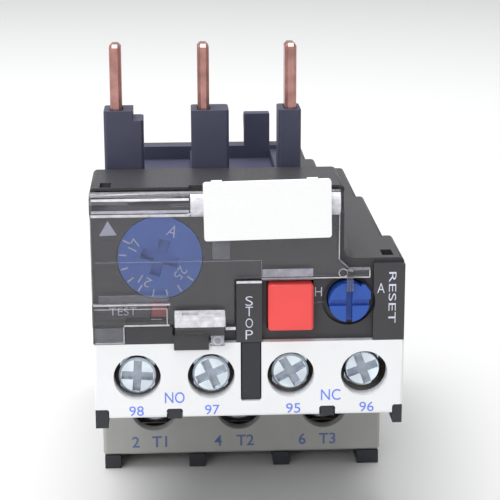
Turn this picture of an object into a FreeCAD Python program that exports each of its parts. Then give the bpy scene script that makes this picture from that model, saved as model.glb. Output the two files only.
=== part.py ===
"""Thermal overload relay, 45 mm wide, for mounting under a contactor.

The part stands on the barrier feet of its main terminals.  X runs across the
relay, Y from the front to the rear and Z up.  Every dimension below is in
millimetres.  Depths (the sizes measured along Y) count from the front plane,
which is the face of the white terminal shroud; each piece is then moved so
that the middle of the whole depth lies at Y = 0.
"""
import FreeCAD, Part
import math
import os
import Sketcher

DIMENSIONS = [
    # overall form
    ("width", 45.0, "overall width"),
    ("rear_length", 25.5, "length of the rear housing"),
    ("label_reach", 2.5, "label plate in front of the front plane"),
    ("strip_floor", 18.4, "underside of the terminal shroud"),
    ("strip_top", 29.7, "top of the terminal shroud"),
    ("shoulder_height", 41.7, "top of the low block beside the head"),
    ("head_height", 52.4, "top of the head block"),
    ("head_right", 13.6, "right side of the head block"),
    ("deck", 20.0, "underside of the housing"),
    ("housing_top", 47.5, "top of the middle housing"),
    ("rear_top", 45.6, "top of the rear housing"),
    # steps in depth
    ("front_depth", 13.5, "rear edge of the front cover"),
    ("lower_front", 25.4, "face of the main terminal cover"),
    ("middle_depth", 42.0, "joint between middle and rear housing"),
    # clearances
    ("running_gap", 0.3, "between pieces that move past each other"),
    ("slip", 0.15, "round a button or a knob in its opening"),
    ("fit", 0.05, "round a piece that is pushed into its seat"),
    ("pivot_fit", 0.08, "radial play of a pivot"),
    # front cover
    ("bezel_inset", 0.2, "front cover inside the overall width"),
    ("face_setback", 1.2, "face under the clear cover behind the front plane"),
    ("cover_wall", 1.6, "wall of the front cover"),
    ("corner_round", 0.7, "rounding of the long outer edges"),
    ("shoulder_round", 1.5, "inner rounding between head and shoulder"),
    ("reset_panel_left", 17.8, "left edge of the raised reset panel"),
    ("column_half", 1.82, "half width of the stop column"),
    ("column_top", 38.9, "top of the stop column"),
    ("sill_left", -17.7, "left edge of the raised sill"),
    ("sill_right", -11.0, "right edge of the raised sill"),
    ("sill_top", 32.3, "top of the raised sill"),
    ("latch_left", -10.8, "left edge of the shroud latch"),
    ("latch_right", -5.8, "right edge of the shroud latch"),
    ("latch_bottom", 28.85, "lower edge of the shroud latch"),
    ("latch_top", 31.0, "top of the shroud latch"),
    ("latch_reach", 0.5, "shroud latch in front of the front plane"),
    ("snap_width", 1.6, "width of a snap window"),
    ("snap_length", 3.0, "length of a snap window along the depth"),
    ("snap_start", 1.5, "front edge of the upper snap window"),
    ("snap_start_low", 2.5, "front edge of the lower snap window"),
    ("snap_edge", 1.4, "snap window from the outer side"),
    ("clip_recess_left", -8.4, "left end of the recess behind the hinge ridge"),
    ("clip_recess_right", 8.4, "right end of the recess behind the hinge ridge"),
    ("clip_recess_depth", 1.1, "depth of that recess"),
    ("guide_wall", 1.0, "wall of a button guide"),
    ("guide_end", 6.0, "rear end of the button guides"),
    ("test_guide_end", 3.9, "rear end of the test button guide"),
    # setting dial and its cam
    ("dial_x", -12.6, "dial centre, across"),
    ("dial_z", 42.15, "dial centre, height"),
    ("dial_radius", 6.0, "dial radius"),
    ("dial_thickness", 2.4, "dial thickness"),
    ("dial_turned", 17.0, "dial angle at the lowest setting, degrees"),
    ("recess_width", 1.5, "arm width of the screwdriver recess"),
    ("recess_reach", 2.7, "reach of the screwdriver recess from the centre"),
    ("recess_depth", 1.4, "depth of the screwdriver recess"),
    ("spindle_radius", 1.4, "dial spindle radius"),
    ("cam_front", 8.4, "front face of the setting cam"),
    ("cam_thickness", 2.2, "thickness of the setting cam"),
    ("cam_low", 2.4, "smallest reach of the cam"),
    ("cam_high", 3.9, "largest reach of the cam"),
    ("spindle_tail", 1.0, "dial spindle behind the cam"),
    # stop button
    ("stop_left", 2.7, "left side of the stop button"),
    ("stop_right", 9.14, "right side of the stop button"),
    ("stop_bottom", 31.6, "lower side of the stop button"),
    ("stop_top", 38.45, "upper side of the stop button"),
    ("stop_face", -0.9, "face of the stop button"),
    ("button_depth", 3.6, "depth of the stop button cap"),
    ("button_round", 0.45, "corner rounding of the stop button"),
    ("button_bevel", 0.3, "edge bevel of a button face"),
    # reset knob
    ("knob_x", 14.3, "knob centre, across"),
    ("knob_z", 35.5, "knob centre, height"),
    ("knob_radius", 2.9, "knob radius"),
    ("knob_face", -0.4, "face of the reset knob"),
    ("knob_length", 3.1, "length of the reset knob"),
    ("knob_slot", 0.9, "width of the knob grooves"),
    ("knob_slot_depth", 1.3, "depth of the knob grooves"),
    ("ear_reach", 3.05, "reach of the knob ear from the centre"),
    ("ear_root", 1.7, "inner end of the knob ear"),
    ("ear_depth", 0.8, "thickness of the knob ear"),
    ("ear_tip", 1.6, "top of the ear at its outer end"),
    ("ear_shoulder", 2.3, "inner end of the ear bevel"),
    ("ear_top", 2.6, "top of the knob ear above the centre"),
    ("plunger_half", 1.0, "half width of a square plunger"),
    # test button
    ("test_left", -14.0, "left side of the test button"),
    ("test_right", -11.7, "right side of the test button"),
    ("test_bottom", 33.3, "lower side of the test button"),
    ("test_top", 35.6, "upper side of the test button"),
    ("plunger_end", 7.0, "rear end of the plungers at rest"),
    # return springs
    ("spring_radius", 2.1, "mean radius of a return spring"),
    ("spring_wire", 0.35, "thickness of the spring wire"),
    ("spring_pitch", 1.5, "pitch of a return spring"),
    # clear cover
    ("hinge_depth", 0.2, "hinge line, depth"),
    ("hinge_drop", 2.2, "hinge line below the top of the head"),
    ("ridge_radius", 1.8, "radius of the hinge ridge"),
    ("pane_front", -0.1, "front of the clear pane"),
    ("pane_thickness", 1.0, "thickness of the clear pane"),
    ("pane_right", 12.9, "right edge of the clear pane"),
    ("pane_bottom", 38.9, "lower edge of the pane above the buttons"),
    ("pane_foot", 32.6, "lower edge of the pane over the dial"),
    ("tab_right", 17.3, "right end of the reset seal tab"),
    ("tab_top", 40.4, "top of the reset seal tab"),
    ("peg_bottom", 37.4, "lower end of the reset seal peg"),
    ("window_right", -11.2, "right edge of the raised test window"),
    ("window_top", 35.9, "top of the raised test window"),
    ("window_reach", 0.7, "raised test window in front of the pane"),
    ("seal_left", -10.6, "left end of the seal lug"),
    ("seal_right", -3.6, "right end of the seal lug"),
    ("seal_top", 33.6, "top of the seal lug"),
    ("seal_bottom", 31.3, "lower side of the seal lug"),
    ("seal_reach", 1.3, "seal lug in front of the pane"),
    ("seal_leg", 2.0, "width of the seal leg"),
    ("lug_half", 0.7, "half width of a hinge lug"),
    ("lug_left", -3.0, "left hinge lug, across"),
    ("lug_right", 7.0, "right hinge lug, across"),
    ("lug_radius", 1.3, "half height of a hinge lug"),
    ("lug_bevel", 0.5, "bevel of a hinge lug"),
    ("hinge_pin_radius", 0.62, "radius of the hinge pin in a lug"),
    # label plate
    ("label_left", -6.4, "left edge of the label plate"),
    ("label_right", 11.4, "right edge of the label plate"),
    ("label_height", 8.3, "height of the label plate"),
    ("label_rise", 3.7, "upper edge of the label plate above the hinge line"),
    ("label_turn", -1.0, "angle of the label plate, degrees"),
    ("label_thickness", 0.8, "thickness of the label plate"),
    ("label_round", 0.4, "corner rounding of the label plate"),
    ("clip_width", 1.5, "width of a label clip"),
    ("clip_rise", 0.2, "label clip above the plate"),
    ("clip_inset_left", 1.9, "left clip from the edge of the plate"),
    ("clip_inset_right", 2.6, "right clip from the edge of the plate"),
    # terminal shroud and auxiliary terminals
    ("strip_inset", 0.12, "shroud inside the overall width"),
    ("strip_thickness", 2.2, "shroud thickness"),
    ("strip_round", 0.5, "edge rounding of the shroud"),
    ("aux_inner", 5.75, "inner auxiliary terminals, across"),
    ("aux_margin", 6.1, "outer auxiliary terminals from the side"),
    ("aux_offset", 0.25, "row of auxiliary terminals right of the middle"),
    ("aux_height", 24.65, "auxiliary screw height"),
    ("aux_hole", 3.4, "radius of a screw opening"),
    ("aux_wall", 2.35, "wall between two auxiliary wire bays"),
    ("aux_rear_wall", 1.2, "wall behind an auxiliary wire bay"),
    ("aux_bay_top", 28.2, "roof of an auxiliary wire bay"),
    ("aux_floor", 16.8, "lower end of the barrier walls"),
    ("aux_roof", 29.6, "top of the auxiliary terminal block"),
    ("barrier_front", 0.35, "face of the barrier walls"),
    ("notch_half", 1.5, "half width of the middle notch"),
    ("notch_floor", 20.8, "floor of the middle notch"),
    ("notch_bevel", 0.25, "bevel of the inner corners of the notches"),
    ("side_notch_top", 19.8, "top of the lower notches"),
    ("side_barrier_floor", 18.1, "lower end of the intermediate barriers"),
    ("aux_plate_front", 6.6, "face of an auxiliary terminal plate"),
    ("aux_plate_thickness", 1.2, "auxiliary terminal plate thickness"),
    ("aux_groove", 0.45, "depth of the grooves for an auxiliary terminal plate"),
    ("aux_plate_floor", 19.4, "lower end of an auxiliary terminal plate"),
    ("contact_top", 33.3, "top of the contact tongue"),
    ("contact_width", 3.0, "width of the contact tongue"),
    ("aux_head", 2.7, "auxiliary screw head radius"),
    ("aux_head_height", 1.5, "auxiliary screw head height"),
    ("aux_shank", 1.5, "auxiliary screw shank radius"),
    ("aux_shank_length", 6.4, "auxiliary screw shank length"),
    ("aux_clamp_side", 5.0, "side of an auxiliary clamp"),
    ("aux_clamp_thickness", 0.9, "thickness of an auxiliary clamp"),
    ("driver_slot", 1.2, "width of the driver recess"),
    ("driver_share", 0.85, "reach of the driver recess as a share of the head radius"),
    ("clamp_bevel", 0.55, "corner bevel of a clamp"),
    ("driver_depth", 0.7, "depth of the driver recess"),
    ("depth_98", 0.9, "screw 98, head behind the front plane"),
    ("depth_97", 1.0, "screw 97, head behind the front plane"),
    ("depth_95", 1.5, "screw 95, head behind the front plane"),
    ("depth_96", 2.3, "screw 96, head behind the front plane"),
    ("turn_98", 4.0, "screw 98, angle of its recess, degrees"),
    ("turn_97", -24.0, "screw 97, angle of its recess, degrees"),
    ("turn_95", -30.0, "screw 95, angle of its recess, degrees"),
    ("turn_96", -20.0, "screw 96, angle of its recess, degrees"),
    # main terminals
    ("pole_wall", 2.6, "barrier wall left of a main terminal"),
    ("pole_wall_right", 3.5, "barrier wall right of the last main terminal"),
    ("bay_roof", 17.5, "roof of a main wire bay"),
    ("bay_rear_wall", 1.4, "wall behind a main wire bay"),
    ("block_inset", 0.2, "main terminal block inside the overall width"),
    ("cover_floor", 2.25, "lower edge of the main terminal cover"),
    ("cover_thickness", 2.2, "main terminal cover thickness"),
    ("cover_bevel", 0.4, "edge bevel of the main terminal cover"),
    ("access_radius", 3.75, "screwdriver opening radius"),
    ("pole_height", 10.2, "main screw height"),
    ("pole_plate_front", 33.5, "face of an outlet plate"),
    ("pole_plate_thickness", 1.6, "outlet plate thickness"),
    ("pole_groove", 0.4, "depth of the grooves for an outlet plate"),
    ("pole_plate_floor", 4.6, "lower end of an outlet plate"),
    ("pole_bar_half", 1.4, "half width of an outlet bar"),
    ("pole_bar_floor", 15.4, "underside of an outlet bar"),
    ("outlet_run", 2.0, "outlet bars behind the middle housing, before they turn"),
    ("pole_head", 3.4, "main screw head radius"),
    ("pole_head_height", 2.2, "main screw head height"),
    ("pole_head_depth", 28.4, "main screw head behind the front plane"),
    ("pole_turn", 20.0, "turn from one main screw to the next, degrees"),
    ("pole_shank", 2.0, "main screw shank radius"),
    ("pole_shank_room", 2.0, "room behind a main screw"),
    ("pole_clamp_gap", 1.25, "room beside a main clamp"),
    ("pole_clamp_thickness", 1.2, "thickness of a main clamp"),
    # middle and rear housing
    ("middle_inset", 1.2, "middle housing inside the overall width"),
    ("rear_inset", 1.9, "rear housing inside the overall width"),
    ("housing_wall", 1.4, "housing wall"),
    ("rear_floor", 3.0, "floor of the rear housing"),
    ("shell_drop", 0.7, "housing shoulder below the front shoulder"),
    ("head_step", 0.6, "each housing's head inside the one in front"),
    ("chamber_wall", 1.5, "wall between the chambers"),
    ("vent_width", 1.6, "width of a vent slot"),
    ("vent_pitch", 3.0, "pitch of the vent slots"),
    ("vent_floor", 32.0, "lower end of the vent slots"),
    ("vent_top", 41.0, "upper end of the vent slots"),
    # pin carrier
    ("pin_margin", 3.75, "first contactor pin from the side"),
    ("pin_pitch", 12.85, "contactor pin pitch"),
    ("pin_setback", 3.4, "contactor pins behind the front cover"),
    ("pin_thickness", 1.7, "contactor pin thickness"),
    ("pin_breadth", 3.8, "contactor pin breadth along the depth"),
    ("pin_bevel", 0.45, "bevel of a contactor pin"),
    ("pin_rise", 23.0, "top of the contactor pins above the housing"),
    ("carrier_plate", 1.5, "carrier plate thickness"),
    ("carrier_margin", 1.6, "left side of the carrier from the side"),
    ("tower_reach", 2.6, "tower in front of its pin and behind it"),
    ("tower_rise", 13.4, "top of the towers above the housing"),
    ("tower_left", 1.85, "tower side left of its pin"),
    ("tower_right_first", 3.95, "first tower side right of its pin"),
    ("tower_right_middle", 3.7, "middle tower side right of its pin"),
    ("tower_right_last", 1.5, "last tower side right of its pin"),
    ("tower_step_width", 1.5, "width of the low step of the first tower"),
    ("tower_step_drop", 1.4, "step below the tower top"),
    ("tower_bevel", 0.3, "corner bevel of the towers"),
    ("tower_rib", 1.5, "thickness of the ribs behind the towers"),
    ("rib_rise", 2.9, "top of the ribs above the housing"),
    ("bridge_setback", 4.0, "cross wall before the end of the middle housing"),
    ("bridge_wall", 2.0, "thickness of the cross wall"),
    ("bridge_rise", 3.7, "top of the cross wall above the housing"),
    ("hook_left", 1.0, "left side of the contactor hook"),
    ("hook_right", 5.1, "right side of the contactor hook"),
    ("hook_rise", 8.9, "top of the contactor hook above the housing"),
    ("hook_nose", 1.6, "reach of the hook nose"),
    # conductors and bimetals
    ("bar_room", 0.1, "room above the incoming bars"),
    ("bar_thickness", 1.6, "thickness of the incoming bars"),
    ("bar_half", 1.9, "half width of an incoming bar at the heater"),
    ("bar_bend", 30.6, "depth behind which the incoming bars run straight"),
    ("bar_neck", 1.1, "half width of an incoming bar under its pin"),
    ("heater_lead_setback", 9.1, "face of the heater lead before the rear face"),
    ("bimetal_setback", 17.5, "front edge of a bimetal strip before the rear face"),
    ("bimetal_breadth", 6.0, "breadth of a bimetal strip"),
    ("bimetal_thickness", 0.8, "thickness of a bimetal strip"),
    ("bimetal_foot", 22.0, "top of the tab welded to a bimetal strip"),
    ("heater_floor", 23.0, "lower end of a heater winding"),
    ("heater_half", 2.0, "half width of the heater sleeve"),
    ("heater_wall", 0.8, "wall of the heater sleeve"),
    ("heater_turns", 7.0, "turns of the heater winding"),
    ("heater_pitch", 1.6, "pitch of the heater winding"),
    ("heater_strip", 1.0, "height of one heater turn"),
    ("heater_reach", 1.0, "heater turn outside its sleeve"),
    ("jog_1", 0.2, "sideways step of the first outlet bar"),
    ("jog_2", 1.7, "sideways step of the middle outlet bar"),
    # trip mechanism
    ("slide_drop", 3.8, "underside of the trip slide below the incoming bars"),
    ("slide_thickness", 1.2, "thickness of a slide"),
    ("finger_length", 3.1, "length of the slide fingers"),
    ("finger_thickness", 1.0, "thickness of a slide finger"),
    ("slide_room", 1.0, "room behind the slides"),
    ("slide_travel", 2.0, "travel of the trip slide"),
    ("chassis_top", 37.7, "top of the mechanism chassis"),
    ("chassis_thickness", 1.5, "thickness of the mechanism chassis"),
    ("chassis_gap", 1.1, "mechanism chassis behind the front cover"),
    ("chassis_end", 0.6, "mechanism chassis before the end of the middle housing"),
    ("lever_offset", 1.7, "lever pivot left of the first bimetal strip"),
    ("lever_y", 32.0, "lever pivot, depth"),
    ("lever_radius", 2.1, "radius of the lever hub"),
    ("lever_root", 1.7, "inner end of the lever arms from the pivot"),
    ("lever_bore", 1.0, "radius of a pivot pin"),
    ("lever_gap", 2.0, "compensating lever in front of the bimetal strips"),
    ("lever_front", 17.0, "front end of the compensating lever"),
    ("lever_thickness", 0.9, "thickness of the compensating lever"),
    ("lever_height", 3.8, "height of the compensating lever"),
    ("tab_length", 4.0, "length of the drive tab on the trip slide"),
    ("latch_bar_end", 6.0, "right end of the trip latch"),
    ("arm_half", 1.5, "half width of the carrier arm that the latch holds"),
    ("latch_bar_depth", 3.0, "depth of the trip latch"),
    ("latch_bar_height", 2.6, "height of the trip latch"),
    ("carrier_front", 8.8, "face of the contact carrier"),
    ("carrier_depth", 2.2, "depth of the contact carrier"),
    ("carrier_floor", 31.6, "underside of the contact carrier"),
    ("carrier_height", 1.7, "height of the contact carrier"),
    ("carrier_reach", 2.2, "contact carrier past the outer terminals"),
    ("contact_travel", 1.15, "travel of the contact carrier"),
    ("bridge_thickness", 0.8, "thickness of a contact bridge"),
    ("link_half", 0.9, "half width of the links to the open bridge"),
]


class Size:
    """A length that knows its value and the sheet expression it comes from."""

    def __init__(self, value, text):
        self.value = float(value)
        self.text = text

    def __add__(self, other):
        other = size(other)
        return Size(self.value + other.value, "(%s + %s)" % (self.text, other.text))

    def __radd__(self, other):
        return size(other) + self

    def __sub__(self, other):
        other = size(other)
        return Size(self.value - other.value, "(%s - %s)" % (self.text, other.text))

    def __rsub__(self, other):
        return size(other) - self

    def __mul__(self, other):
        other = size(other)
        return Size(self.value * other.value, "(%s * %s)" % (self.text, other.text))

    def __rmul__(self, other):
        return size(other) * self

    def __truediv__(self, other):
        other = size(other)
        return Size(self.value / other.value, "(%s / %s)" % (self.text, other.text))

    def __neg__(self):
        return Size(0.0, "0") - self


def corner_reach(across, up):
    """How far a corner lies from the centre of its circle."""
    square = across * across + up * up
    return Size(math.sqrt(square.value), "sqrt(%s)" % square.text)


def size(number):
    """A plain number as a Size; a Size stays as it is."""
    if isinstance(number, Size):
        return number
    return Size(number, "(%.6g)" % number)


class Sizes:
    """The driving dimensions, one attribute for each row of the sheet."""


def make_sheet(document):
    """Write the driving dimensions to the sheet and return them as sizes."""
    sheet = document.addObject("Spreadsheet::Sheet", "Sizes")
    sizes = Sizes()
    for row, (name, value, remark) in enumerate(DIMENSIONS, start=1):
        sheet.set("A%d" % row, name)
        sheet.set("B%d" % row, str(value))
        sheet.set("C%d" % row, remark)
        sheet.setAlias("B%d" % row, name)
        setattr(sizes, name, Size(value, "Sizes." + name))
    return sizes


doc = FreeCAD.newDocument("thermal_overload_relay")
s = make_sheet(doc)
doc.recompute()

# the middle of the whole depth, label plate included, goes to Y = 0
body_depth = s.middle_depth + s.rear_length
SHIFT = (s.label_reach - body_depth) / 2
PLANES = {"front": "XZ_Plane", "top": "XY_Plane", "side": "YZ_Plane"}
# which way a pad leaves each plane, compared with the axis it is measured on
PLANE_SENSE = {"front": -1, "top": 1, "side": 1}
pieces = []


def bind(item, name, length):
    """Tie a property to the sheet."""
    item.setExpression(name, size(length).text)


def rect(left, right, low, high):
    """A rectangle between two pairs of coordinates."""
    return [(left, low), (right, low), (right, high), (left, high)]


def block(across, up, reach):
    """A square round a point."""
    return rect(across - reach, across + reach, up - reach, up + reach)


def disc(across, up, radius):
    """A full circle."""
    return (across, up, radius)


class Piece:
    """One separate piece: a body whose features are bound to the sheet."""

    def __init__(self, label, origin=(0, 0, 0), turn=None):
        self.body = doc.addObject("PartDesign::Body", label)
        self.body.Label = label
        across, depth, height = origin
        bind(self.body, "Placement.Base.x", across)
        bind(self.body, "Placement.Base.y", SHIFT + depth)
        bind(self.body, "Placement.Base.z", height)
        if turn is not None:
            self.body.Placement = FreeCAD.Placement(
                FreeCAD.Vector(), FreeCAD.Rotation(FreeCAD.Vector(0, 1, 0), size(turn).value))
            bind(self.body, "Placement.Rotation.Angle", turn)
        pieces.append(self.body)

    def sketch(self, view, level, outlines, across=0, up=0):
        """A closed sketch of one or more outlines, at a level of its plane."""
        drawing = self.body.newObject("Sketcher::SketchObject", "outline")
        plane = [item for item in self.body.Origin.OriginFeatures
                 if item.Role == PLANES[view]][0]
        drawing.AttachmentSupport = (plane, "")
        drawing.MapMode = "FlatFace"
        bind(drawing, "AttachmentOffset.Base.z", PLANE_SENSE[view] * size(level))
        bind(drawing, "AttachmentOffset.Base.x", across)
        bind(drawing, "AttachmentOffset.Base.y", up)
        for outline in outlines:
            if isinstance(outline, tuple):
                self.add_circle(drawing, *outline)
            else:
                self.add_polygon(drawing, outline)
        return drawing

    def place_point(self, drawing, index, which, x, y):
        """Fix one point of the sketch at two sizes."""
        for kind, length in (("DistanceX", size(x)), ("DistanceY", size(y))):
            number = drawing.addConstraint(
                Sketcher.Constraint(kind, -1, 1, index, which, length.value))
            drawing.setExpression("Constraints[%d]" % number, length.text)

    def add_circle(self, drawing, x, y, radius):
        centre = FreeCAD.Vector(size(x).value, size(y).value, 0)
        circle = Part.Circle(centre, FreeCAD.Vector(0, 0, 1), size(radius).value)
        index = drawing.addGeometry(circle)
        self.place_point(drawing, index, 3, x, y)
        number = drawing.addConstraint(
            Sketcher.Constraint("Radius", index, size(radius).value))
        drawing.setExpression("Constraints[%d]" % number, size(radius).text)

    def add_polygon(self, drawing, points):
        corners = [FreeCAD.Vector(size(x).value, size(y).value, 0) for x, y in points]
        first = drawing.GeometryCount
        count = len(corners)
        for index in range(count):
            drawing.addGeometry(
                Part.LineSegment(corners[index], corners[(index + 1) % count]))
        for index in range(count):
            drawing.addConstraint(Sketcher.Constraint(
                "Coincident", first + index, 2, first + (index + 1) % count, 1))
        for index, (x, y) in enumerate(points):
            self.place_point(drawing, first + index, 1, x, y)

    def pad(self, view, low, high, *outlines):
        """Add material between two levels of a view."""
        drawing = self.sketch(view, low, outlines)
        feature = self.body.newObject("PartDesign::Pad", "pad")
        feature.Profile = drawing
        feature.Reversed = PLANE_SENSE[view] < 0
        bind(feature, "Length", size(high) - size(low))
        return feature

    def cut(self, view, low, high, *outlines):
        """Remove material between two levels of a view."""
        drawing = self.sketch(view, low, outlines)
        feature = self.body.newObject("PartDesign::Pocket", "pocket")
        feature.Profile = drawing
        feature.Reversed = PLANE_SENSE[view] > 0
        bind(feature, "Length", size(high) - size(low))
        return feature

    def revolve(self, points):
        """Turn an outline of (radius, depth) points round the piece's Y axis."""
        drawing = self.sketch("top", 0, [points])
        feature = self.body.newObject("PartDesign::Revolution", "revolution")
        feature.Profile = drawing
        feature.ReferenceAxis = (drawing, ["V_Axis"])
        feature.Angle = 360.0
        return feature

    def coil(self, radius, wire, pitch, start, length):
        """Wind a square wire round the piece's Y axis."""
        outline = rect(radius - wire / 2, radius + wire / 2, start, start + wire)
        drawing = self.sketch("top", 0, [outline])
        feature = self.body.newObject("PartDesign::AdditiveHelix", "coil")
        feature.Profile = drawing
        feature.ReferenceAxis = (drawing, ["V_Axis"])
        feature.Mode = "pitch-height-angle"
        bind(feature, "Pitch", pitch)
        bind(feature, "Height", length - wire)
        return feature

    def repeat(self, feature, view_axis, spacing, count):
        """Repeat a feature in a row along one of the body's axes."""
        pattern = self.body.newObject("PartDesign::LinearPattern", "row")
        pattern.Originals = [feature]
        axis = [item for item in self.body.Origin.OriginFeatures
                if item.Role == view_axis][0]
        pattern.Direction = (axis, [""])
        pattern.Mode = "Spacing"
        bind(pattern, "Offset", spacing)
        bind(pattern, "Occurrences", count)
        self.body.Tip = pattern
        return pattern

    def soften(self, kind, amount, chosen):
        """Round or chamfer the edges that the test picks."""
        doc.recompute()
        base = self.body.Tip
        names = ["Edge%d" % number
                 for number, edge in enumerate(base.Shape.Edges, start=1) if chosen(edge)]
        if not names:
            raise ValueError("no edge to soften on " + self.body.Label)
        feature = self.body.newObject("PartDesign::" + kind, kind.lower())
        feature.Base = (base, names)
        bind(feature, "Radius" if kind == "Fillet" else "Size", amount)
        return feature


def runs_along(edge, axis):
    """Whether a straight edge runs along the axis with this number."""
    box = edge.BoundBox
    spans = [box.XLength, box.YLength, box.ZLength]
    length = spans.pop(axis)
    return length > 1e-6 and max(spans) < 1e-6


def near(value, target):
    """Whether a coordinate lies at a size."""
    return abs(value - size(target).value) < 1e-4


# sizes that several pieces share
half = s.width / 2
bezel = half - s.bezel_inset
middle_half = half - s.middle_inset
rear_half = half - s.rear_inset
block_half = half - s.block_inset
strip_half = half - s.strip_inset
face_rear = s.face_setback + s.cover_wall
hinge_height = s.head_height - s.hinge_drop
label_top = hinge_height + s.label_rise
# contactor pins and the moulding that holds them
pin_places = [s.pin_margin - half + number * s.pin_pitch for number in range(3)]
pin_depth = s.front_depth + s.pin_setback
tower_front = pin_depth - s.tower_reach
tower_rear = pin_depth + s.tower_reach
# main terminals, three bays between four barrier walls
pole_bay = (2 * block_half - 3 * s.pole_wall - s.pole_wall_right) / 3
pole_pitch = pole_bay + s.pole_wall
pole_first = s.pole_wall + pole_bay / 2 - block_half
pole_places = [pole_first + number * pole_pitch for number in range(3)]
pole_plate_width = pole_bay + 2 * s.pole_groove
bay_end = s.middle_depth - s.bay_rear_wall
pole_shank_length = bay_end - s.pole_shank_room - s.pole_head_depth - s.pole_head_height
# bimetal chambers; the last outlet bar passes the edge of its wire bay
chambers_right = pole_places[2] - pole_bay / 2 + 2 * s.pole_bar_half + 2 * s.slip
chambers_left = s.housing_wall - rear_half
chamber_width = (chambers_right - chambers_left - 2 * s.chamber_wall) / 3
chamber_first = chambers_left + chamber_width / 2
chamber_pitch = chamber_width + s.chamber_wall
bimetal_places = [chamber_first + number * chamber_pitch for number in range(3)]
bimetal_front = body_depth - s.bimetal_setback
bimetal_rear = bimetal_front + s.bimetal_breadth
heater_lead_front = body_depth - s.heater_lead_setback
outlet_jogs = [s.jog_1, s.jog_2, chamber_width / 2 - s.pole_bar_half - s.slip]
bar_floor = s.rear_top - s.housing_wall - s.bar_room - s.bar_thickness
slide_floor = bar_floor - s.slide_drop
lever_x = bimetal_places[0] - s.lever_offset
stop_x = (s.stop_left + s.stop_right) / 2
stop_z = (s.stop_bottom + s.stop_top) / 2
cap_rear = s.stop_face + s.button_depth
knob_rear = s.knob_face + s.knob_length
lever_floor = s.chassis_top + s.running_gap
# auxiliary terminals
aux_outer = half - s.aux_margin
aux_bay = aux_outer - s.aux_inner - s.aux_wall
aux_plate_width = aux_bay + 2 * s.aux_groove
aux_terminals = [
    ("98", s.aux_offset - aux_outer, s.depth_98, s.turn_98),
    ("97", s.aux_offset - s.aux_inner, s.depth_97, s.turn_97),
    ("95", s.aux_offset + s.aux_inner, s.depth_95, s.turn_95),
    ("96", s.aux_offset + aux_outer, s.depth_96, s.turn_96),
]


def shell_outline(side, floor, shoulder, right, top):
    """The stepped outline of the housings, seen from the front."""
    return [(-side, floor), (side, floor), (side, shoulder),
            (right, shoulder), (right, top), (-side, top)]


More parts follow.
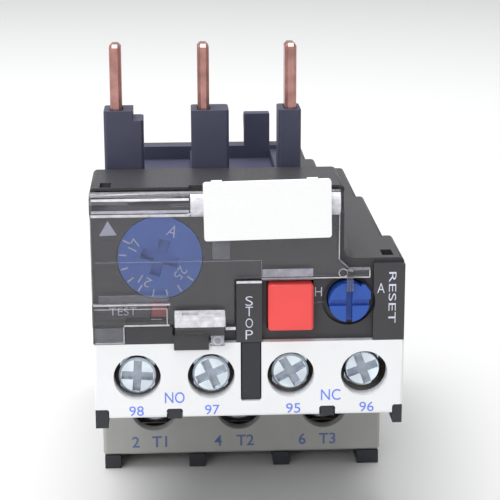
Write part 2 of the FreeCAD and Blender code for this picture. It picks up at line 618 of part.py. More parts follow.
def make_front_cover():
    """The black front moulding with its raised panels and openings."""
    piece = Piece("front_cover")
    wall = s.cover_wall
    piece.pad("front", s.face_setback, s.front_depth,
              shell_outline(bezel, s.strip_top, s.shoulder_height,
                            s.head_right, s.head_height))
    piece.soften("Fillet", s.corner_round, lambda edge: runs_along(edge, 1)
                 and edge.CenterOfMass.z > s.strip_top.value + 1
                 and not near(edge.CenterOfMass.x, s.head_right)
                 or runs_along(edge, 1)
                 and near(edge.CenterOfMass.x, s.head_right)
                 and near(edge.CenterOfMass.z, s.head_height))
    piece.soften("Fillet", s.shoulder_round, lambda edge: runs_along(edge, 1)
                 and near(edge.CenterOfMass.x, s.head_right)
                 and near(edge.CenterOfMass.z, s.shoulder_height))
    piece.cut("front", face_rear, s.front_depth,
              shell_outline(bezel - wall, s.strip_top + wall, s.shoulder_height - wall,
                            s.head_right - wall, s.head_height - wall))
    raised = [
        rect(s.reset_panel_left, bezel, s.strip_top, s.shoulder_height - s.corner_round),
        rect(-s.column_half, s.column_half, s.strip_top, s.column_top),
        rect(s.sill_left, s.sill_right, s.strip_top, s.sill_top),
        rect(s.sill_right, s.latch_right, s.strip_top, s.latch_top),
    ]
    piece.pad("front", 0, s.face_setback, *raised[:3])
    piece.pad("front", 0, s.face_setback, raised[3])
    piece.pad("front", -s.latch_reach, 0,
              rect(s.latch_left, s.latch_right, s.latch_bottom, s.latch_top))
    # guides for the stop and test buttons behind the face
    guide = s.guide_wall
    guide_floor = s.guide_end - guide
    left = s.stop_left - s.slip
    right = s.stop_right + s.slip
    low = s.stop_bottom - s.slip
    high = s.stop_top + s.slip
    piece.pad("front", face_rear, s.guide_end,
              rect(left - guide, right + guide, s.strip_top + wall, high + guide))
    piece.cut("front", s.face_setback, guide_floor, rect(left, right, low, high))
    left = s.test_left - s.slip
    right = s.test_right + s.slip
    low = s.test_bottom - s.slip
    high = s.test_top + s.slip
    piece.pad("front", face_rear, s.test_guide_end,
              rect(left - guide, right + guide, low - guide, high + s.slip))
    piece.cut("front", s.face_setback, s.test_guide_end, rect(left, right, low, high))
    # reset knob opening, with a round recess that its ear turns in
    opening = s.knob_radius + s.slip
    piece.pad("front", face_rear, s.guide_end,
              disc(s.knob_x, s.knob_z, opening + guide))
    piece.cut("front", s.face_setback, guide_floor, disc(s.knob_x, s.knob_z, opening))
    plunger = s.plunger_half + s.slip
    piece.cut("front", guide_floor, s.guide_end,
              block(stop_x, stop_z, plunger), block(s.knob_x, s.knob_z, plunger))
    ear_room = corner_reach(s.ear_shoulder, s.ear_top) + s.running_gap
    piece.cut("front", 0, s.face_setback + s.cover_wall / 2,
              disc(s.knob_x, s.knob_z, ear_room))
    # dial seat
    piece.cut("front", s.face_setback, face_rear,
              disc(s.dial_x, s.dial_z, s.dial_radius + s.slip))
    # groove and lugs of the clear cover's hinge
    piece.cut("side", -half, s.head_right,
              disc(s.hinge_depth, hinge_height, s.ridge_radius + s.running_gap))
    piece.cut("top", s.head_height - s.clip_recess_depth, s.head_height,
              rect(s.clip_recess_left, s.clip_recess_right, 0, face_rear - guide / 2))
    lug_front = s.hinge_depth - s.lug_radius
    lug_low = hinge_height - s.lug_radius
    lug_high = hinge_height + s.lug_radius
    root = s.hinge_depth + s.ridge_radius + guide
    for place in (s.lug_left, s.lug_right):
        piece.pad("side", place - s.lug_half, place + s.lug_half,
                  [(lug_front, lug_low + s.lug_bevel), (lug_front + s.lug_bevel, lug_low),
                   (root, lug_low), (root, lug_high),
                   (lug_front + s.lug_bevel, lug_high), (lug_front, lug_high - s.lug_bevel)],
                  disc(s.hinge_depth, hinge_height, s.hinge_pin_radius + s.pivot_fit))
    # snap windows in the head and in the shoulder
    window_left = -bezel + s.snap_edge
    piece.cut("top", s.head_height - wall, s.head_height,
              rect(window_left, window_left + s.snap_width,
                   s.snap_start, s.snap_start + s.snap_length))
    window_right = bezel - s.snap_edge
    piece.cut("top", s.shoulder_height - wall, s.shoulder_height,
              rect(window_right - s.snap_width, window_right,
                   s.snap_start_low, s.snap_start_low + s.snap_length))
    # slots for the contact tongues in the floor
    for name, place, depth, turn in aux_terminals:
        tongue = s.contact_width / 2 + s.fit
        piece.cut("top", s.strip_top, s.strip_top + wall,
                  rect(place - tongue, place + tongue, s.aux_plate_front - s.fit,
                       s.aux_plate_front + s.aux_plate_thickness + s.fit))
    return piece


def make_middle_housing():
    """The open-ended housing between the front cover and the rear housing."""
    piece = Piece("middle_housing")
    wall = s.housing_wall
    shoulder = s.shoulder_height - s.shell_drop
    right = s.head_right - s.head_step
    piece.pad("front", s.front_depth, s.middle_depth,
              shell_outline(middle_half, s.deck, shoulder, right, s.housing_top))
    piece.soften("Fillet", s.corner_round, lambda edge: runs_along(edge, 1)
                 and not near(edge.CenterOfMass.z, s.deck)
                 and not (near(edge.CenterOfMass.x, right)
                          and near(edge.CenterOfMass.z, shoulder)))
    piece.cut("front", s.front_depth, s.middle_depth,
              shell_outline(middle_half - wall, s.deck + wall, shoulder - wall,
                            right - wall, s.housing_top - wall))
    for place in pin_places:
        piece.cut("top", s.housing_top - wall, s.housing_top, pin_slot(place))
    return piece


def pin_slot(place):
    """The slot that a contactor pin passes through."""
    across = s.pin_thickness / 2 + s.fit
    along = s.pin_breadth / 2 + s.fit
    return rect(place - across, place + across, pin_depth - along, pin_depth + along)


def make_rear_housing():
    """The rear housing with one chamber for each bimetal."""
    piece = Piece("rear_housing")
    wall = s.housing_wall
    shoulder = s.shoulder_height - 2 * s.shell_drop
    right = s.head_right - 2 * s.head_step
    piece.pad("front", s.middle_depth, body_depth,
              shell_outline(rear_half, 0, shoulder, right, s.rear_top))
    piece.soften("Fillet", s.corner_round, lambda edge: (
        runs_along(edge, 1)
        and not near(edge.CenterOfMass.z, 0)
        and not (near(edge.CenterOfMass.x, right)
                 and near(edge.CenterOfMass.z, shoulder)))
        or (near(edge.CenterOfMass.y, body_depth) and runs_along(edge, 0)
            and near(edge.CenterOfMass.z, s.rear_top)))
    room = chamber_width / 2
    roof = s.rear_top - wall
    chambers = [rect(place - room, place + room, s.rear_floor, roof)
                for place in bimetal_places]
    spare_left = bimetal_places[2] + room + s.chamber_wall
    chambers.append(rect(spare_left, rear_half - wall, s.rear_floor, shoulder - wall))
    piece.cut("front", s.middle_depth, body_depth - wall, *chambers)
    # the slides cross the chamber walls and rest on them
    piece.cut("front", s.middle_depth, bimetal_rear + s.slide_room,
              rect(bimetal_places[0], bimetal_places[2],
                   slide_floor - s.running_gap, roof))
    # vent slots in the rear wall
    for place in bimetal_places:
        slots = [rect(place + offset - s.vent_width / 2, place + offset + s.vent_width / 2,
                      s.vent_floor, s.vent_top)
                 for offset in (-s.vent_pitch, 0, s.vent_pitch)]
        piece.cut("front", body_depth - wall, body_depth, *slots)
    return piece


def make_main_terminal_block():
    """The lower block: three wire bays between barrier walls that are the feet."""
    piece = Piece("main_terminal_block")
    piece.pad("front", s.lower_front + s.cover_thickness, s.middle_depth,
              rect(-block_half, block_half, 0, s.deck))
    bay = pole_bay / 2
    piece.cut("front", s.lower_front + s.cover_thickness, bay_end,
              *[rect(place - bay, place + bay, 0, s.bay_roof) for place in pole_places])
    edges = [-block_half]
    for place in pole_places:
        edges += [place - bay, place + bay]
    edges.append(block_half)
    toes = [rect(edges[number], edges[number + 1], 0, s.cover_floor)
            for number in range(0, len(edges), 2)]
    piece.pad("front", s.lower_front, s.lower_front + s.cover_thickness, *toes)
    groove = pole_plate_width / 2 + s.fit
    piece.cut("front", s.pole_plate_front - s.fit,
              s.pole_plate_front + s.pole_plate_thickness + s.fit,
              *[rect(place - groove, place + groove,
                     s.pole_plate_floor - s.fit, s.bay_roof) for place in pole_places])
    bar = s.pole_bar_half + s.fit
    slots = []
    for place, jog in zip(bimetal_places, outlet_jogs):
        slots.append(rect(place + jog - bar, place + jog + bar, s.pole_bar_floor - s.fit,
                          s.pole_bar_floor + s.pole_plate_thickness + s.fit))
    piece.cut("front", bay_end, s.middle_depth, *slots)
    return piece


def make_main_terminal_cover():
    """The grey cover plate over the main terminals."""
    piece = Piece("main_terminal_cover")
    piece.pad("front", s.lower_front, s.lower_front + s.cover_thickness,
              rect(-half, half, s.cover_floor, s.deck))
    piece.soften("Chamfer", s.cover_bevel, lambda edge: near(edge.CenterOfMass.y, s.lower_front)
                 or (runs_along(edge, 1) and near(edge.CenterOfMass.z, s.cover_floor)))
    piece.cut("front", s.lower_front, s.lower_front + s.cover_thickness,
              *[disc(place, s.pole_height, s.access_radius) for place in pole_places])
    return piece


def make_terminal_shroud():
    """The white shroud over the auxiliary terminals."""
    piece = Piece("terminal_shroud")
    bay = aux_bay / 2
    outer_notch = aux_outer + bay
    inner_notch = s.aux_inner + bay
    inner_far = aux_outer - bay
    top = s.side_notch_top
    right = [(s.notch_half, s.strip_top), (s.notch_half, s.notch_floor)]
    notches = [(inner_notch, s.strip_floor), (inner_notch, top), (inner_far, top),
               (inner_far, s.strip_floor), (outer_notch, s.strip_floor), (outer_notch, top)]
    centre = s.aux_offset
    outline = [(centre + x, z) for x, z in notches]
    outline += [(strip_half, top), (strip_half, s.strip_top)]
    outline += [(centre + x, z) for x, z in right]
    outline += [(centre - x, z) for x, z in reversed(right)]
    outline += [(-strip_half, s.strip_top), (-strip_half, top)]
    outline += [(centre - x, z) for x, z in reversed(notches)]
    piece.pad("front", 0, s.strip_thickness, outline)
    piece.soften("Fillet", s.strip_round, lambda edge: near(edge.CenterOfMass.y, 0)
                 and near(edge.CenterOfMass.z, s.strip_floor)
                 or runs_along(edge, 2) and near(edge.CenterOfMass.y, 0)
                 and near(abs(edge.CenterOfMass.x), strip_half))
    piece.soften("Chamfer", s.notch_bevel, lambda edge: runs_along(edge, 1)
                 and not near(abs(edge.CenterOfMass.x), strip_half)
                 and (near(edge.CenterOfMass.z, top)
                      or near(edge.CenterOfMass.z, s.notch_floor)))
    piece.cut("front", 0, s.strip_thickness,
              *[disc(place, s.aux_height, s.aux_hole)
                for name, place, depth, turn in aux_terminals])
    return piece


def make_aux_terminal_block():
    """The black block with the four auxiliary wire bays and their barriers."""
    piece = Piece("aux_terminal_block")
    piece.pad("front", s.strip_thickness, s.front_depth,
              rect(-bezel, bezel, s.strip_floor, s.aux_roof))
    bay = aux_bay / 2
    piece.cut("front", s.strip_thickness, s.front_depth - s.aux_rear_wall,
              *[rect(place - bay, place + bay, s.strip_floor, s.aux_bay_top)
                for name, place, depth, turn in aux_terminals])
    # barrier walls that stand in the notches of the shroud
    centre = s.aux_offset
    outer = aux_outer + bay
    inner = s.aux_inner + bay
    inner_far = aux_outer - bay
    gap = s.slip
    barriers = [
        rect(-bezel, centre - outer - gap, s.aux_floor, s.side_notch_top - gap),
        rect(centre + outer + gap, bezel, s.aux_floor, s.side_notch_top - gap),
        rect(centre - inner_far + gap, centre - inner - gap, s.side_barrier_floor,
             s.side_notch_top - gap),
        rect(centre + inner + gap, centre + inner_far - gap, s.side_barrier_floor,
             s.side_notch_top - gap),
        rect(centre - s.notch_half + gap, centre + s.notch_half - gap,
             s.notch_floor + gap, s.aux_roof),
    ]
    piece.pad("front", s.barrier_front, s.strip_thickness, *barriers)
    below = [
        rect(-bezel, centre - outer - gap, s.aux_floor, s.strip_floor),
        rect(centre + outer + gap, bezel, s.aux_floor, s.strip_floor),
    ]
    piece.pad("front", s.strip_thickness, s.front_depth, *below)
    groove = aux_plate_width / 2 + s.fit
    piece.cut("front", s.aux_plate_front - s.fit,
              s.aux_plate_front + s.aux_plate_thickness + s.fit,
              *[rect(place - groove, place + groove, s.aux_plate_floor - s.fit,
                     s.aux_bay_top) for name, place, depth, turn in aux_terminals])
    tongue = s.contact_width / 2 + s.fit
    piece.cut("front", s.aux_plate_front - s.fit,
              s.aux_plate_front + s.aux_plate_thickness + s.fit,
              *[rect(place - tongue, place + tongue, s.aux_bay_top, s.aux_roof)
                for name, place, depth, turn in aux_terminals])
    return piece


def make_pin_carrier():
    """The top moulding with the pin towers, the cross wall and the hook."""
    piece = Piece("pin_carrier")
    base = s.housing_top
    deck = base + s.carrier_plate
    tower_top = base + s.tower_rise
    bridge_top = base + s.bridge_rise
    hook_top = base + s.hook_rise
    bridge_rear = s.middle_depth - s.bridge_setback
    bridge_front = bridge_rear - s.bridge_wall
    first, middle, last = pin_places
    left = s.carrier_margin - half
    right = last + s.tower_right_last
    piece.pad("top", base, deck, rect(left, right, tower_front, bridge_rear))
    step = first + s.tower_right_first
    towers = [
        rect(first - s.tower_left, step - s.tower_step_width, tower_front, tower_rear),
        rect(middle - s.tower_left, middle + s.tower_right_middle,
             tower_front, tower_rear),
        rect(last - s.tower_left, right, tower_front, tower_rear),
    ]
    piece.pad("top", deck, tower_top, *towers)
    piece.pad("top", deck, tower_top - s.tower_step_drop,
              rect(step - s.tower_step_width, step, tower_front, tower_rear))
    piece.soften("Chamfer", s.tower_bevel, lambda edge: runs_along(edge, 2)
                 and edge.CenterOfMass.z > deck.value
                 and not near(edge.CenterOfMass.x, step - s.tower_step_width))
    piece.pad("top", deck, bridge_top, rect(left, right, bridge_front, bridge_rear))
    ribs = [rect(place - s.tower_left, place - s.tower_left + s.tower_rib,
                 tower_rear, bridge_front) for place in pin_places]
    piece.pad("top", deck, base + s.rib_rise, *ribs)
    hook_rear = bridge_rear + s.hook_nose
    piece.pad("side", s.hook_left, s.hook_right,
              [(bridge_front, bridge_top), (bridge_rear, bridge_top),
               (bridge_rear, hook_top - 2 * s.hook_nose),
               (hook_rear, hook_top - s.hook_nose),
               (hook_rear, hook_top - s.hook_nose / 2),
               (bridge_rear, hook_top), (bridge_front, hook_top)])
    for place in pin_places:
        piece.cut("top", base, tower_top, pin_slot(place))
    return piece


def make_phase_conductor(number, pin_x, heater_x):
    """A copper pin, its bar under the roof and the lead to the heater."""
    piece = Piece("phase_conductor_%d" % number)
    top = bar_floor + s.bar_thickness
    front = pin_depth - s.pin_breadth / 2
    lead_rear = heater_lead_front + s.bar_thickness
    pin_top = s.housing_top + s.pin_rise
    piece.pad("top", bar_floor, pin_top,
              rect(pin_x - s.pin_thickness / 2, pin_x + s.pin_thickness / 2,
                   front, front + s.pin_breadth))
    piece.soften("Chamfer", s.pin_bevel, lambda edge: runs_along(edge, 2)
                 or near(edge.CenterOfMass.z, pin_top))
    piece.pad("top", bar_floor, top,
              [(pin_x - s.bar_neck, front), (pin_x + s.bar_neck, front),
               (pin_x + s.bar_neck, tower_rear), (heater_x + s.bar_half, s.bar_bend),
               (heater_x + s.bar_half, lead_rear), (heater_x - s.bar_half, lead_rear),
               (heater_x - s.bar_half, s.bar_bend), (pin_x - s.bar_neck, tower_rear)])
    heater_top = s.heater_floor + s.heater_turns * s.heater_pitch
    piece.pad("front", heater_lead_front, lead_rear,
              rect(heater_x - s.bar_half, heater_x + s.bar_half,
                   heater_top - 2 * s.heater_pitch, bar_floor))
    return piece


def make_bimetal_strip(number, place):
    """A bimetal strip that stands on the outlet bar, with its free end up."""
    piece = Piece("bimetal_strip_%d" % number)
    thick = s.bimetal_thickness / 2
    floor = s.pole_bar_floor + s.pole_plate_thickness
    piece.pad("top", floor, slide_floor - 2 * s.running_gap,
              rect(place - thick, place + thick, bimetal_front, bimetal_rear))
    return piece


def make_heater_winding(number, place):
    """The heater strip wound on its sleeve round the bimetal."""
    piece = Piece("heater_winding_%d" % number)
    wall = s.heater_wall
    inner = s.heater_half - wall
    front = bimetal_front - wall
    rear = bimetal_rear + wall
    top = s.heater_floor + s.heater_turns * s.heater_pitch
    piece.pad("top", s.heater_floor, top,
              rect(place - s.heater_half, place + s.heater_half, front - wall, rear + wall),
              rect(place - inner, place + inner, front, rear))
    reach = s.heater_reach
    turn = piece.pad("top", s.heater_floor, s.heater_floor + s.heater_strip,
                     rect(place - s.heater_half - reach, place + s.heater_half + reach,
                          front - wall - reach, heater_lead_front),
                     rect(place - inner, place + inner, front, rear))
    piece.repeat(turn, "Z_Axis", s.heater_pitch, s.heater_turns)
    piece.pad("front", heater_lead_front - reach, heater_lead_front,
              rect(place - reach, place + reach,
                   s.pole_bar_floor + s.pole_plate_thickness, s.heater_floor))
    return piece


def make_outlet_conductor(number, pole, place, jog):
    """The outlet plate with its screw hole and the bar to the bimetal."""
    piece = Piece("outlet_conductor_%d" % number)
    thick = s.pole_plate_thickness
    rear = s.pole_plate_front + thick
    top = s.pole_bar_floor + thick
    piece.pad("front", s.pole_plate_front, rear,
              rect(pole - pole_plate_width / 2, pole + pole_plate_width / 2,
                   s.pole_plate_floor, top))
    bar = s.pole_bar_half
    through = place + jog
    piece.pad("top", s.pole_bar_floor, top,
              [(through - bar, rear), (through + bar, rear),
               (through + bar, s.middle_depth + s.outlet_run),
               (place + bar, bimetal_front), (place + bar, heater_lead_front),
               (place - bar, heater_lead_front), (place - bar, bimetal_front),
               (through - bar, s.middle_depth + s.outlet_run)])
    piece.pad("side", place - bar, place - s.bimetal_thickness / 2,
              rect(bimetal_front, bimetal_rear, top, s.bimetal_foot))
    piece.cut("front", s.pole_plate_front, rear,
              disc(pole, s.pole_height, s.pole_shank + s.pivot_fit))
    return piece


def make_screw(label, place, height, depth, turn, head, head_height, shank, length):
    """A pan-head terminal screw with a cross recess, turned to its rest angle."""
    piece = Piece(label, origin=(place, depth, height), turn=turn)
    crown = head_height / 5
    piece.revolve([(0, 0), (head - crown, 0), (head, crown), (head, head_height),
                   (shank, head_height), (shank, head_height + length),
                   (0, head_height + length)])
    arm = head * s.driver_share
    slot = s.driver_slot / 2
    piece.cut("front", 0, s.driver_depth, rect(-arm, arm, -slot, slot))
    piece.cut("front", 0, s.driver_depth, rect(-slot, slot, -arm, arm))
    return piece


def make_clamp(label, place, height, depth, side, thickness, shank):
    """The square clamp washer under a terminal screw."""
    piece = Piece(label)
    piece.pad("front", depth, depth + thickness,
              rect(place - side / 2, place + side / 2, height - side / 2, height + side / 2),
              disc(place, height, shank + s.pivot_fit))
    piece.soften("Chamfer", s.clamp_bevel, lambda edge: runs_along(edge, 1)
                 and edge.Length < size(thickness).value * 1.01)
    return piece


def make_aux_plate(name, place):
    """An auxiliary terminal plate with the fixed contact tongue."""
    piece = Piece("aux_plate_" + name)
    wide = aux_plate_width / 2
    tongue = s.contact_width / 2
    piece.pad("front", s.aux_plate_front, s.aux_plate_front + s.aux_plate_thickness,
              [(place - wide, s.aux_plate_floor), (place + wide, s.aux_plate_floor),
               (place + wide, s.aux_bay_top), (place + tongue, s.aux_bay_top),
               (place + tongue, s.contact_top), (place - tongue, s.contact_top),
               (place - tongue, s.aux_bay_top), (place - wide, s.aux_bay_top)])
    piece.cut("front", s.aux_plate_front, s.aux_plate_front + s.aux_plate_thickness,
              disc(place, s.aux_height, s.aux_shank + s.pivot_fit))
    return piece


def make_trip_parts():
    """The slide, the compensating lever and the latch that trip the contacts."""
    thick = s.bimetal_thickness / 2
    slide = Piece("trip_slide")
    slide_top = slide_floor + s.slide_thickness
    slide_left = bimetal_places[0] - thick - s.running_gap - s.finger_thickness
    slide_right = bimetal_places[2] + s.bar_half
    slide.pad("top", slide_floor, slide_top,
              rect(slide_left, slide_right, bimetal_front, bimetal_rear))
    tab_left = lever_x + s.lever_thickness / 2 + s.running_gap
    slide.pad("top", slide_floor, slide_top,
              rect(tab_left, tab_left + s.slide_travel,
                   bimetal_front - s.tab_length, bimetal_front))
    for place in bimetal_places:
        finger = place - thick - s.running_gap
        slide.pad("side", finger - s.finger_thickness, finger,
                  rect(bimetal_front, bimetal_rear,
                       slide_floor - s.finger_length, slide_floor))

    above = Piece("differential_slide")
    above_floor = slide_top + s.running_gap
    above.pad("top", above_floor, above_floor + s.slide_thickness,
              rect(slide_left + s.finger_thickness, slide_right + s.finger_thickness,
                   bimetal_front + s.slide_room, bimetal_rear - s.slide_room))

    chassis = Piece("mechanism_chassis")
    chassis_floor = s.chassis_top - s.chassis_thickness
    side = middle_half - s.housing_wall
    chassis_front = s.front_depth + s.chassis_gap
    chassis.pad("top", chassis_floor, s.chassis_top,
                rect(-side, side, chassis_front, s.middle_depth - s.chassis_end))
    # tongue with the window that guides the adjusting slider
    slot = s.cam_low + s.slip
    margin = slot + s.chassis_thickness
    chassis.pad("top", chassis_floor, s.chassis_top,
                rect(s.dial_x - margin, s.dial_x + margin,
                     s.cam_front - s.chassis_thickness, chassis_front))
    chassis.cut("top", chassis_floor, s.chassis_top,
                rect(s.dial_x - slot, s.dial_x + slot, s.cam_front - s.slip,
                     s.cam_front + s.cam_thickness + s.slip))

    pin = Piece("lever_pin")
    lever_top = lever_floor + s.lever_height
    pin.pad("top", s.chassis_top, lever_top + s.running_gap,
            disc(lever_x, s.lever_y, s.lever_bore))

    lever = Piece("compensating_lever")
    lever.pad("top", lever_floor, lever_top,
              disc(lever_x, s.lever_y, s.lever_radius),
              disc(lever_x, s.lever_y, s.lever_bore + s.pivot_fit))
    arm = s.lever_thickness / 2
    lever.pad("top", lever_floor, lever_top,
              rect(lever_x - arm, lever_x + arm, s.lever_y + s.lever_root,
                   bimetal_front - s.lever_gap))
    lever.pad("top", lever_floor, lever_top,
              rect(lever_x - arm, lever_x + arm, s.lever_front, s.lever_y - s.lever_root))

    latch = Piece("trip_latch")
    latch_left = lever_x + arm + s.running_gap
    latch.pad("top", lever_floor, lever_floor + s.latch_bar_height,
              rect(latch_left, s.latch_bar_end, s.lever_front,
                   s.lever_front + s.latch_bar_depth))
    return slide, above, chassis, pin, lever, latch


def make_contacts():
    """The contact carrier and its two bridges."""
    carrier = Piece("contact_carrier")
    rear = s.carrier_front + s.carrier_depth
    top = s.carrier_floor + s.carrier_height
    carrier_half = aux_outer + s.carrier_reach
    carrier.pad("front", s.carrier_front, rear,
                rect(-carrier_half, carrier_half, s.carrier_floor, top))
    # post and arm that the latch holds, above the chassis
    arm_top = lever_floor + s.latch_bar_height
    carrier.pad("top", top, arm_top,
                rect(-s.arm_half, s.arm_half, s.carrier_front, rear))
    carrier.pad("top", lever_floor, arm_top,
                rect(-s.arm_half, s.arm_half, rear,
                     s.lever_front - s.contact_travel - s.running_gap))
    # links past the contact tongues to the normally open bridge
    middle = (s.aux_inner + aux_outer) / 2
    open_middle = s.aux_offset - middle
    closed_middle = s.aux_offset + middle
    open_rear = s.aux_plate_front - s.contact_travel - s.fit
    open_front = open_rear - s.bridge_thickness
    carrier.pad("front", open_rear, s.carrier_front,
                rect(open_middle - s.link_half, open_middle + s.link_half,
                     s.carrier_floor, top))

    reach = (aux_outer - s.aux_inner) / 2 + s.contact_width / 2
    open_bridge = Piece("contact_bridge_open")
    open_bridge.pad("front", open_front, open_rear,
                    rect(open_middle - reach, open_middle + reach,
                         s.carrier_floor, top))

    closed_front = s.aux_plate_front + s.aux_plate_thickness + s.fit
    closed_bridge = Piece("contact_bridge_closed")
    closed_bridge.pad("front", closed_front, s.carrier_front,
                      rect(closed_middle - reach, closed_middle + reach,
                           s.carrier_floor, top))
    return carrier, open_bridge, closed_bridge


def make_setting_dial():
    """The dial with its screwdriver recess and spindle, and the cam on it."""
    dial = Piece("setting_dial", origin=(s.dial_x, s.face_setback, s.dial_z),
                 turn=s.dial_turned)
    spindle_end = s.cam_front + s.cam_thickness + s.spindle_tail - s.face_setback
    dial.revolve([(0, s.fit), (s.dial_radius, s.fit), (s.dial_radius, s.dial_thickness),
                  (s.spindle_radius, s.dial_thickness), (s.spindle_radius, spindle_end),
                  (0, spindle_end)])
    arm = s.recess_reach
    slot = s.recess_width / 2
    dial.cut("front", 0, s.recess_depth, rect(-arm, arm, -slot, slot))
    dial.cut("front", 0, s.recess_depth, rect(-slot, slot, -arm, arm))

    # a round cam, set off its centre by half the lift of the slider
    throw = (s.cam_high - s.cam_low) / 2
    cam = Piece("setting_cam", origin=(s.dial_x, s.cam_front, s.dial_z))
    cam.pad("front", 0, s.cam_thickness, disc(0, throw, s.cam_low + throw),
            disc(0, 0, s.spindle_radius))

    follower = Piece("adjusting_slider")
    nose = s.cam_thickness / 2
    top = s.dial_z - s.cam_low - s.running_gap
    follower.pad("front", s.cam_front, s.cam_front + s.cam_thickness,
                 rect(s.dial_x - nose / 2, s.dial_x + nose / 2, top - nose, top))
    lift = s.cam_high - s.cam_low
    carrier_top = s.carrier_floor + s.carrier_height
    follower.pad("front", s.cam_front, s.cam_front + s.cam_thickness,
                 rect(s.dial_x - s.cam_low, s.dial_x + s.cam_low,
                      carrier_top + lift + s.running_gap, top - nose))
    return dial, cam, follower


def make_buttons():
    """The stop, reset and test controls with their return springs."""
    stop = Piece("stop_button")
    stop.pad("front", s.stop_face, cap_rear,
             rect(s.stop_left, s.stop_right, s.stop_bottom, s.stop_top))
    stop.soften("Fillet", s.button_round, lambda edge: runs_along(edge, 1))
    stop.soften("Chamfer", s.button_bevel, lambda edge: near(edge.CenterOfMass.y, s.stop_face))
    stop.pad("front", cap_rear, s.plunger_end, block(stop_x, stop_z, s.plunger_half))

    knob = Piece("reset_knob", origin=(s.knob_x, s.knob_face, s.knob_z))
    knob.pad("front", 0, s.knob_length, disc(0, 0, s.knob_radius))
    slot = s.knob_slot / 2
    far = s.knob_radius
    knob.cut("front", 0, s.knob_slot_depth, rect(-slot, slot, -far, far))
    knob.cut("front", 0, s.knob_slot_depth / 2, rect(-far, far, -slot, slot))
    knob.pad("front", 0, s.ear_depth,
             [(s.ear_root, slot), (s.ear_reach, slot), (s.ear_reach, s.ear_tip),
              (s.ear_shoulder, s.ear_top), (s.ear_root, s.ear_top)])

    plunger = Piece("reset_plunger")
    plunger.pad("front", knob_rear, s.plunger_end,
                block(s.knob_x, s.knob_z, s.plunger_half))

    test = Piece("test_button")
    test_x = (s.test_left + s.test_right) / 2
    test_z = (s.test_bottom + s.test_top) / 2
    test.pad("front", s.face_setback, cap_rear,
             rect(s.test_left, s.test_right, s.test_bottom, s.test_top))
    test.soften("Chamfer", s.button_bevel / 2, lambda edge:
                near(edge.CenterOfMass.y, s.face_setback))
    test.pad("front", cap_rear, s.plunger_end,
             block(test_x, test_z, s.plunger_half - 2 * s.slip))
    return stop, knob, plunger, test


def make_clear_cover():
    """The clear hinged cover with its ridge, test window and seal lugs."""
    piece = Piece("clear_cover")
    front = s.pane_front
    rear = front + s.pane_thickness
    ridge_low = hinge_height - s.ridge_radius
    piece.pad("front", front, rear,
              [(-bezel, s.pane_foot), (s.seal_left, s.pane_foot),
               (s.seal_left, s.seal_bottom + s.pane_thickness),
               (s.seal_right, s.seal_bottom + s.pane_thickness),
               (s.seal_right, s.pane_foot), (-s.column_half - s.running_gap, s.pane_foot),
               (-s.column_half - s.running_gap, s.pane_bottom + s.running_gap),
               (s.tab_right, s.pane_bottom + s.running_gap), (s.tab_right, s.tab_top),
               (s.pane_right + s.shoulder_round, s.tab_top),
               (s.pane_right, s.tab_top + s.shoulder_round),
               (s.pane_right, hinge_height), (-bezel, hinge_height)])
    piece.pad("side", -bezel, s.pane_right,
              disc(s.hinge_depth, hinge_height, s.ridge_radius))
    # raised window over the test button, and its foot at the left
    window_front = front - s.window_reach
    piece.pad("front", window_front, front,
              rect(-bezel, s.window_right, s.pane_foot, s.window_top))
    piece.pad("front", front, rear,
              rect(-bezel, s.sill_left - s.running_gap, s.strip_top + s.slip, s.pane_foot))
    # seal lug and the leg below it
    lug_front = front - s.seal_reach
    piece.pad("front", lug_front, front,
              rect(s.seal_left, s.seal_right, s.seal_bottom, s.seal_top))
    piece.pad("front", lug_front, lug_front + s.pane_thickness,
              rect(s.seal_right - s.seal_leg, s.seal_right, s.strip_top, s.seal_bottom))
    # peg in front of the reset knob
    peg_left = s.knob_x - s.knob_slot / 2
    peg_right = s.knob_x + s.knob_slot / 2
    piece.pad("front", lug_front, front,
              rect(peg_left, peg_right, s.pane_bottom + s.running_gap, s.tab_top))
    piece.pad("front", lug_front, s.knob_face - s.running_gap,
              rect(peg_left, peg_right, s.peg_bottom, s.pane_bottom + s.running_gap))
    # slots for the hinge lugs, with the hinge pin through them
    slot = s.lug_half + s.running_gap
    for place in (s.lug_left, s.lug_right):
        piece.cut("side", place - slot, place + slot,
                  rect(s.hinge_depth - 2 * s.ridge_radius, s.hinge_depth + 2 * s.ridge_radius,
                       hinge_height - s.lug_radius - s.running_gap,
                       hinge_height + s.ridge_radius))
        piece.pad("side", place - slot, place + slot,
                  disc(s.hinge_depth, hinge_height, s.hinge_pin_radius))
    return piece


def make_label_plate():
    """The white label plate on two posts in front of the clear cover."""
    half_width = (s.label_right - s.label_left) / 2
    half_height = s.label_height / 2
    piece = Piece("label_plate", origin=(s.label_left + half_width, 0, label_top - half_height),
                  turn=s.label_turn)
    front = -s.label_reach
    rear = front + s.label_thickness
    piece.pad("front", front, rear,
              rect(-half_width, half_width, -half_height, half_height))
    piece.soften("Fillet", s.label_round, lambda edge: runs_along(edge, 1))
    post_low = s.label_thickness - half_height
    for place in (s.clip_inset_left - half_width, half_width - s.clip_inset_right):
        piece.pad("front", front, rear,
                  rect(place - s.clip_width / 2, place + s.clip_width / 2,
                       half_height - s.clip_rise, half_height + s.clip_rise))
        piece.pad("front", rear, s.pane_front,
                  rect(place - s.clip_width / 2, place + s.clip_width / 2,
                       post_low, post_low + s.label_thickness))
    return piece


def make_springs():
    """The return springs behind the stop button and the reset knob."""
    for label, across, height, start in (
            ("stop_spring", stop_x, stop_z, cap_rear),
            ("reset_spring", s.knob_x, s.knob_z, knob_rear)):
        spring = Piece(label, origin=(across, start, height))
        spring.coil(s.spring_radius, s.spring_wire, s.spring_pitch, 0,
                    s.guide_end - s.guide_wall - start)


